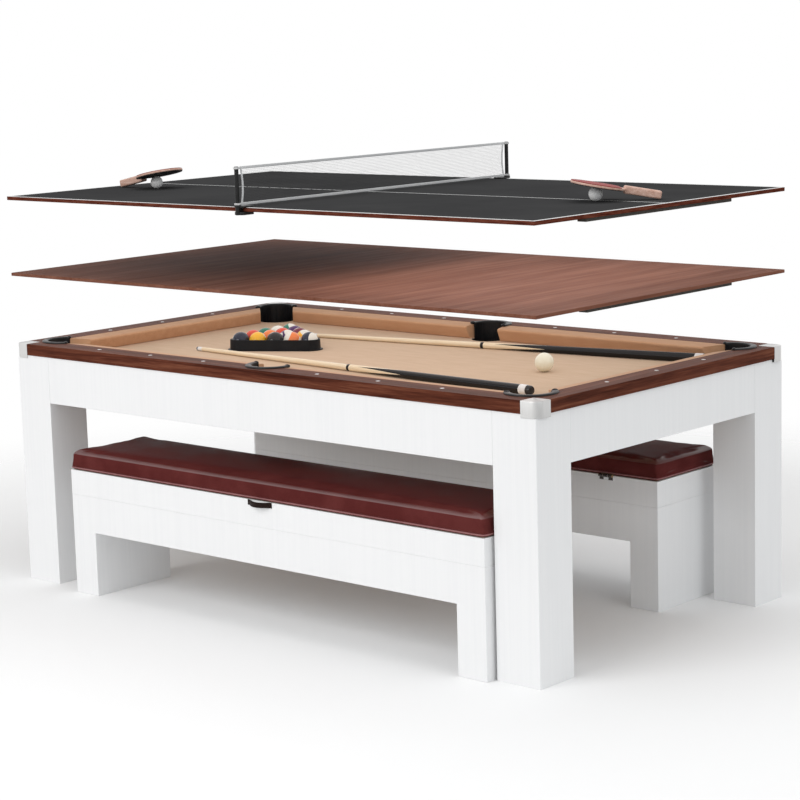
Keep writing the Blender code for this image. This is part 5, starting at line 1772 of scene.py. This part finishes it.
@dataclass
class Bench(Part):
    """Storage bench: lacquered frame and box, hinged lid, leather seat with welt, strap and hinges."""

    name: str
    centre_x: float
    face_y: float
    turned: bool
    length: float = 1.688
    depth: float = 0.3105
    body_top: float = 0.398
    seat_top: float = 0.4634
    base_ease: float = 0.0012
    box_ease: float = 0.0010
    overhang: float = 0.005
    crown: float = 0.005
    swell: float = 0.005
    edge: float = 0.012
    lid_inset: float = 0.008
    start_inset: float = 0.003
    voxel: float = 0.0075
    stapled: float = 0.006
    board_roof: float = 0.0117
    hinge_roof: float = 0.0062
    welt_radius: float = 0.0023
    welt_lift: float = 0.0078
    welt_step: float = 0.020
    seam_lift: float = 0.0050
    hinge_share: float = 0.39
    hinge_width: float = 0.050
    hinge_middle: float = 0.018
    hinge_radius: float = 0.0045
    hinge_offset: float = 0.005
    hinge_drop: float = 0.014
    hinge_leaf: float = 0.0022
    screw_radius: float = 0.0022
    screw_rise: float = 0.0006
    pull_width: float = 0.080
    pull_bulge: float = 0.018
    pull_strap: float = 0.016
    pull_thickness: float = 0.003
    pull_tab: float = 0.008
    pull_seam: float = 0.0022
    gap: float = 0.0003

    @property
    def place(self) -> Matrix:
        """Where the bench stands: its own axes start at the middle of its face, on the floor."""
        spot = Matrix.Translation((self.centre_x, self.face_y, 0))
        return spot @ Matrix.Rotation(pi, 4, "Z") if self.turned else spot

    @property
    def hinge_places(self) -> list[float]:
        """Middles of the two hinges along the bench."""
        return [side * self.hinge_share * self.length for side in (-1, 1)]

    def dress(self, seat: Mesh) -> None:
        """Dress the frame and box and build the rest.

        Args:
            seat: Finished seat in the bench's own axes, shared by the benches.
        """
        frame_body, lid_body = Body(f"{self.name}_frame"), Body(f"{self.name}_lid_body")
        self.shop.dress(f"{self.name}_base", WHITE, self.base_ease)
        self.shop.dress(f"{self.name}_box", WHITE, self.box_ease)
        self.shop.dress(f"{self.name}_lid", RAW_BOARD)
        mesh = seat.copy()
        mesh.transform(self.place)
        cushion = self.shop.piece(f"{self.name}_seat", mesh, lid_body, "maroon_leather", MAROON,
                                  (f"{self.name}_cushion",))
        self.add_welt(seat, lid_body)
        self.add_pull(lid_body)
        self.add_hinges(frame_body, lid_body)

    def seat_shape(self) -> Mesh:
        """Firm start of the seat: a rounded slab, drawn in at its sides."""
        inset = self.start_inset
        half_x = self.length / 2 + self.overhang - inset
        half_y = self.depth / 2 + self.overhang - inset
        low, high = self.body_top + 0.0006, self.seat_top - self.crown - 0.001
        outline = rounded(rectangle(half_x, half_y), self.edge * 1.3, 6)
        levels = [(0.004, low), (0.0010, low + 0.0015), (0.0, low + 0.005)]
        levels += [(0.001 + self.edge * (1 - c), high - self.edge * (1 - s)) for s, c in quarter(6)]
        bm = bmesh.new()
        skin(bm, [[Vector((x, y + self.depth / 2, height)) for x, y in offset_outline(outline, drawn_in)]
                  for drawn_in, height in levels])
        bmesh.ops.recalc_face_normals(bm, faces=bm.faces)
        mesh = bpy.data.meshes.new("seat_start")
        bm.to_mesh(mesh)
        bm.free()
        return mesh

    def simulate_seat(self) -> Mesh:
        """Blow the seat up as leather over foam.

        Returns:
            The finished seat in the bench's own axes: swollen, crowned, smoothed once and cut free
            of the hinges.
        """
        thing = bpy.data.objects.new("seat_cloth", self.seat_shape())
        bpy.context.scene.collection.objects.link(thing)
        bpy.context.view_layer.objects.active = thing
        remesh = thing.modifiers.new("voxels", "REMESH")
        remesh.mode = "VOXEL"
        remesh.voxel_size = self.voxel
        start = settled(thing, "seat_rest")
        thing.modifiers.clear()
        thing.data = start
        rest = [vert.co.copy() for vert in start.vertices]
        self.shape_seat(start, rest, self.blow_up(thing, rest))
        smooth = thing.modifiers.new("smooth", "SUBSURF")
        smooth.levels = smooth.render_levels = 1
        mesh = settled(thing, "seat")
        bpy.data.objects.remove(thing, do_unlink=True)
        self.hollow_underside(mesh)
        for polygon in mesh.polygons:
            polygon.use_smooth = True
        LOG.info("seat shaped, %d faces", len(mesh.polygons))
        return mesh

    def blow_up(self, thing: Thing, rest: list[Vector]) -> list[Vector]:
        """Run the cloth simulation, with the leather stapled along its lower edge.

        Args:
            thing: The seat.
            rest: Its points at rest.

        Returns:
            Its points after the simulation.
        """
        scene, last = bpy.context.scene, 20
        held = self.body_top + self.stapled
        pins = thing.vertex_groups.new(name="stapled")
        pins.add([index for index, co in enumerate(rest) if co.z < held], 1.0, "REPLACE")
        cloth = thing.modifiers.new("leather", "CLOTH")
        settings = cloth.settings
        settings.quality = 4
        settings.mass = 0.4
        settings.tension_stiffness = settings.compression_stiffness = 22.0
        settings.bending_stiffness = 2.0
        settings.use_pressure = True
        settings.uniform_pressure_force = 4.0
        settings.vertex_group_mass = "stapled"
        settings.effector_weights.gravity = 0.0
        cloth.point_cache.frame_start, cloth.point_cache.frame_end = 1, last
        for frame in range(1, last + 1):
            scene.frame_set(frame)
        shaped = thing.evaluated_get(bpy.context.evaluated_depsgraph_get()).to_mesh()
        full = [vert.co.copy() for vert in shaped.vertices]
        thing.modifiers.clear()
        scene.frame_set(1)
        return full

    def shape_seat(self, mesh: Mesh, rest: list[Vector], full: list[Vector]) -> None:
        """Move the seat's points out as far as its swell allows, and crown it.

        Args:
            mesh: The seat.
            rest: Its points at rest.
            full: Its points when blown up.
        """
        half_x, half_y = self.length / 2 + self.overhang, self.depth / 2 + self.overhang
        for vert, before, after in zip(mesh.vertices, rest, full):
            push = after - before
            if push.length > self.swell:
                push *= self.swell / push.length
            co = before + push
            share_x, share_y = co.x / half_x, (co.y - self.depth / 2) / half_y
            rise = max(0.0, (co.z - self.body_top) / (self.seat_top - self.body_top))
            co.z += self.crown * rise ** 2 * (1 - share_x ** 4) * (1 - share_y ** 2)
            vert.co = co

    def hollow_underside(self, mesh: Mesh) -> None:
        """Lift the underside over the lid board and over the hinge knuckles."""
        half, back = self.length / 2 - self.lid_inset, self.depth - self.lid_inset
        wide = self.hinge_width / 2 + 0.0012
        for vert in mesh.vertices:
            x, y, z = vert.co
            over_board = abs(x) < half and self.lid_inset < y < back
            over_hinge = y > back - 0.004 and any(abs(x - middle) < wide for middle in self.hinge_places)
            lift = self.board_roof if over_board else self.hinge_roof if over_hinge else 0.0
            if lift and z < self.body_top + lift:
                vert.co.z = self.body_top + lift + (z - self.body_top) * 0.02

    def seam(self) -> list[Vector]:
        """Even points along the plan of the seat's edge."""
        half_x, half_y = self.length / 2 + self.overhang, self.depth / 2 + self.overhang
        outline = [Vector(point) for point in rounded(rectangle(half_x, half_y), self.edge * 1.3, 8)]
        path = []
        for here, after in zip(outline, [*outline[1:], outline[0]]):
            pieces = max(1, int((after - here).length / self.welt_step))
            path += [Vector((*here.lerp(after, i / pieces), 0)) for i in range(pieces)]
        return path

    def laid_seam(self, seat: Mesh) -> list[Vector]:
        """The seam laid on the shaped leather, in the bench's own axes."""
        surface = BVHTree.FromPolygons([vert.co for vert in seat.vertices],
                                       [tuple(polygon.vertices) for polygon in seat.polygons])
        path, laid, reach = self.seam(), [], 0.03
        for index, point in enumerate(path):
            along = (path[(index + 1) % len(path)] - path[index - 1]).normalized()
            outward = Vector((along.y, -along.x, 0))
            plan = Vector((point.x, point.y + self.depth / 2, self.body_top + self.welt_lift))
            origin = plan + outward * reach
            hit = surface.ray_cast(origin, -outward, 2 * reach)[0]
            spot = hit if hit is not None else origin - outward * reach
            laid.append(spot + outward * 0.0002)
        return laid

    def add_welt(self, seat: Mesh, body: Body) -> None:
        """Add the welt along the seat's lower edge, and its seam's stitches.

        Args:
            seat: Finished seat in the bench's own axes.
            body: Body that they move with.
        """
        laid, place = self.laid_seam(seat), self.place

        def draw(bm: Draft) -> None:
            """Sweep the welt round the seat."""
            sweep(bm, carried(laid, place), circle(self.welt_radius, 10), loop=True)

        self.shop.build(f"{self.name}_seat_welt", draw, body, "maroon_leather", WELT_PAINTED_HIGHLIGHT, (), 60.0)
        raised = [place @ (point + upward(self.seam_lift)) for point in laid]
        edges = [(index, (index + 1) % len(raised)) for index in range(len(raised))]
        stitch = {"Pitch": 0.0050, "Length": 0.0017, "Thread": 0.0004}
        self.shop.grow(f"{self.name}_seat_stitches", raised, stitch_tree(), stitch, body,
                       "maroon_leather", MAROON, edges)

    def pull_line(self) -> list[Vector]:
        """Middle line of the strap, from one tab to the other."""
        height = self.body_top + self.gap - self.pull_strap / 2
        back = -self.gap - self.pull_thickness / 2
        half, tab = self.pull_width / 2, self.pull_tab
        stops = [(-half - tab, 0.0), (-half - tab / 2, 0.0)]
        for share in (i / 28 for i in range(29)):
            stops.append((self.pull_width * (share - 0.5), self.pull_bulge * sin(pi * share) ** 0.85))
        stops += [(half + tab / 2, 0.0), (half + tab, 0.0)]
        return [Vector((x, back - bow, height)) for x, bow in stops]

    def add_pull(self, body: Body) -> None:
        """Add the strap that bows out from the middle of the face, and its stitches."""
        place, line = self.place, self.pull_line()
        section = rounded(rectangle(self.pull_thickness / 2 - 0.0002, self.pull_strap / 2), 0.0010, 3)
        self.shop.build(f"{self.name}_pull_strap", lambda bm: sweep(bm, carried(line, place), section),
                        body, "dark_leather", STRAP, (f"{self.name}_pull",), 50.0)
        points, edges = [], []
        for side in (-1, 1):
            off = Vector((0, -self.pull_thickness / 2, side * (self.pull_strap / 2 - self.pull_seam)))
            edges += [(len(points) + i, len(points) + i + 1) for i in range(len(line) - 1)]
            points += [place @ (point + off) for point in line]
        stitch = {"Pitch": 0.0034, "Length": 0.0011, "Thread": 0.00035}
        self.shop.grow(f"{self.name}_pull_stitches", points, stitch_tree(), stitch, body,
                       "dark_leather", STRAP, edges)

    def add_hinges(self, frame_body: Body, lid_body: Body) -> None:
        """Cover the hinges: the leaf on the box's back with its screws, and the knuckles.

        Args:
            frame_body: Body that carries the leaves.
            lid_body: Body that carries the outer knuckles.
        """
        place, middles = self.place, self.hinge_places
        radius = self.hinge_radius + 0.0001
        core, inner = self.hinge_middle / 2 - 0.0001, self.hinge_middle / 2 + 0.0004
        outer = self.hinge_width / 2
        direction = place.to_3x3() @ Vector((1, 0, 0))

        def barrel(bm: Draft, low: float, high: float) -> None:
            """One knuckle."""
            start = place @ Vector((low, self.depth + self.hinge_offset, self.body_top))
            length = high - low
            lathe(bm, [(0.0010, 0.0), (radius - 0.0006, 0.0), (radius, 0.0006), (radius, length - 0.0006),
                       (radius - 0.0006, length), (0.0010, length)], 24, tuple(start), direction)

        def on_frame(bm: Draft) -> None:
            """Leaves on the box and the middle knuckles."""
            for middle in middles:
                barrel(bm, middle - core, middle + core)
                low = (middle - outer, self.depth - 0.0004, self.body_top - self.hinge_drop)
                high = (middle + outer, self.depth + self.hinge_leaf, self.body_top - radius - 0.0003)
                box(bm, low, high, 0.0006, place)

        def on_lid(bm: Draft) -> None:
            """Outer knuckles."""
            for middle in middles:
                barrel(bm, middle + inner, middle + outer)
                barrel(bm, middle - outer, middle - inner)

        for piece, draw, body in (("leaves", on_frame, frame_body), ("knuckles", on_lid, lid_body)):
            self.shop.build(f"{self.name}_hinge_{piece}", draw, body, "black_plastic", DARK_STEEL, (), 35.0)
        height = self.body_top - self.hinge_drop + 0.0042
        screws = [place @ Vector((middle + shift, self.depth + self.hinge_leaf, height))
                  for middle in middles for shift in (-0.018, -0.006, 0.006, 0.018)]
        turn = Matrix.Rotation(pi / 2, 3, "X").to_euler()
        inputs = {"Radius": self.screw_radius, "Rise": self.screw_rise, "Turn": turn}
        self.shop.grow(f"{self.name}_hinge_screws", screws, stud_tree(), inputs, frame_body,
                       "black_plastic", DARK_STEEL)


# The studio


@dataclass
class Studio:
    """Pale floor and white backdrop, soft lamps and the camera at the photograph's place."""

    azimuth: float = 41.717
    elevation: float = 9.589
    roll: float = -1.621
    camera_place: Spot = (4.606, -5.107, 1.761)
    lens: float = 100.453
    floor_radius: float = 3.4
    world_light: float = 0.60

    def build(self) -> None:
        """Build the floor, the world, the lamps and the camera."""
        self.add_world()
        self.add_floor()
        aim = (0.0, 0.0, 0.6)
        self.add_lamp("key", (-0.6, -6.0, 4.0), aim, (4.0, 4.0), 175.0)
        self.add_lamp("fill", (5.5, -0.8, 3.0), aim, (3.5, 3.5), 46.0, (0.92, 0.97, 1.0))
        self.add_lamp("above", (0.3, 0.2, 4.6), aim, (4.0, 4.0), 60.0)
        self.add_lamp("over_bed", (0.0, 0.0, 0.990), (0.0, 0.0, 0.0), (1.90, 0.98), 6.0)
        self.add_lamp("over_dining", (0.52, 0.0, 1.222), (0.52, 0.0, 0.0), (1.00, 1.10), 5.6)
        self.add_camera()

    def add_world(self) -> None:
        """Even light all round, plain white to the camera and to mirrors."""
        world = bpy.data.worlds.new("studio")
        world.use_nodes = True
        graph = Nodes(world.node_tree)
        light = graph.tree.nodes["Background"]
        graph.feed(light.inputs["Strength"], self.world_light)
        graph.feed(light.inputs["Color"], (1, 1, 1))
        seen = graph.add("ShaderNodeBackground", {"Color": (1, 1, 1)})
        rays = graph.add("ShaderNodeLightPath").outputs
        ray = rays["Is Camera Ray"]
        for other in ("Is Glossy Ray", "Is Transmission Ray"):
            ray = graph.math("MAXIMUM", ray, rays[other])
        mix = graph.add("ShaderNodeMixShader", {0: ray, 1: light.outputs[0], 2: seen.outputs[0]})
        graph.feed(graph.tree.nodes["World Output"].inputs["Surface"], mix.outputs[0])
        bpy.context.scene.world = world

    def add_floor(self) -> None:
        """Round white floor that fades into the backdrop."""
        bm = bmesh.new()
        bmesh.ops.create_circle(bm, cap_ends=True, segments=96, radius=self.floor_radius + 1.0)
        mesh = bpy.data.meshes.new("floor")
        bm.to_mesh(mesh)
        bm.free()
        floor = bpy.data.objects.new("floor", mesh)
        bpy.context.scene.collection.objects.link(floor)
        graph = Graph("floor")
        graph.finish(Base_Color=(0.93, 0.93, 0.93), Roughness=0.9, Specular_IOR_Level=0.0)
        distance = graph.add("ShaderNodeVectorMath", {0: graph.place.outputs["Object"]}, operation="LENGTH")
        fade = graph.spread(distance.outputs["Value"], self.floor_radius * 0.45, self.floor_radius)
        clear = graph.add("ShaderNodeBsdfTransparent")
        mix = graph.add("ShaderNodeMixShader", {0: fade, 1: graph.shader.outputs[0], 2: clear.outputs[0]})
        graph.feed(graph.tree.nodes["Material Output"].inputs["Surface"], mix.outputs[0])
        mesh.materials.append(graph.material)

    def add_lamp(self, name: str, spot: Spot, aim: Spot, size: Flat, power: float,
                 colour: Colour = (1.0, 1.0, 1.0)) -> None:
        """Add a soft rectangular lamp.

        Args:
            name: Name of the lamp.
            spot: Its middle.
            aim: Point that it faces.
            size: Its length and width.
            power: Its power in watts.
            colour: Its colour.
        """
        data = bpy.data.lights.new(name, "AREA")
        data.shape = "RECTANGLE"
        data.size, data.size_y = size
        data.energy = power
        data.color = colour
        lamp = bpy.data.objects.new(name, data)
        lamp.location = spot
        lamp.rotation_euler = (Vector(aim) - Vector(spot)).to_track_quat("-Z", "Y").to_euler()
        lamp.visible_camera = False
        bpy.context.scene.collection.objects.link(lamp)

    def add_camera(self) -> None:
        """Set the camera where the photograph was taken from."""
        a, e, r = radians(self.azimuth), radians(self.elevation), radians(self.roll)
        forward = Vector((-sin(a) * cos(e), cos(a) * cos(e), -sin(e)))
        right = Vector((cos(a), sin(a), 0))
        up = right.cross(forward)
        x = right * cos(r) + up * sin(r)
        y = up * cos(r) - right * sin(r)
        data = bpy.data.cameras.new("camera")
        data.lens = self.lens
        data.sensor_width = 36.0
        data.clip_end = 60.0
        camera = bpy.data.objects.new("camera", data)
        turn = Matrix((x, y, -forward)).transposed().to_4x4()
        camera.matrix_world = Matrix.Translation(self.camera_place) @ turn
        bpy.context.scene.collection.objects.link(camera)
        bpy.context.scene.camera = camera


def clear_scene() -> None:
    """Remove what a new file holds."""
    for thing in list(bpy.data.objects):
        bpy.data.objects.remove(thing, do_unlink=True)


def main() -> None:
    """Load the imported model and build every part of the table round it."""
    logging.basicConfig(level=logging.INFO, format="%(message)s")
    clear_scene()
    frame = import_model()
    shop = Workshop(frame["nodes"])
    for part in (TableBase, Rails, PlayField, Pockets, Games, DiningTop, TennisTop):
        part(shop).dress()
    front = Bench(shop, "front_bench", 0.057, -0.630, False)
    back = Bench(shop, "back_bench", 0.015, 0.5417, True)
    seat = front.simulate_seat()
    for bench in (front, back):
        bench.dress(seat)
    Studio().build()
    bpy.context.scene.view_settings.view_transform = "Standard"


if __name__ == "__main__":
    main()
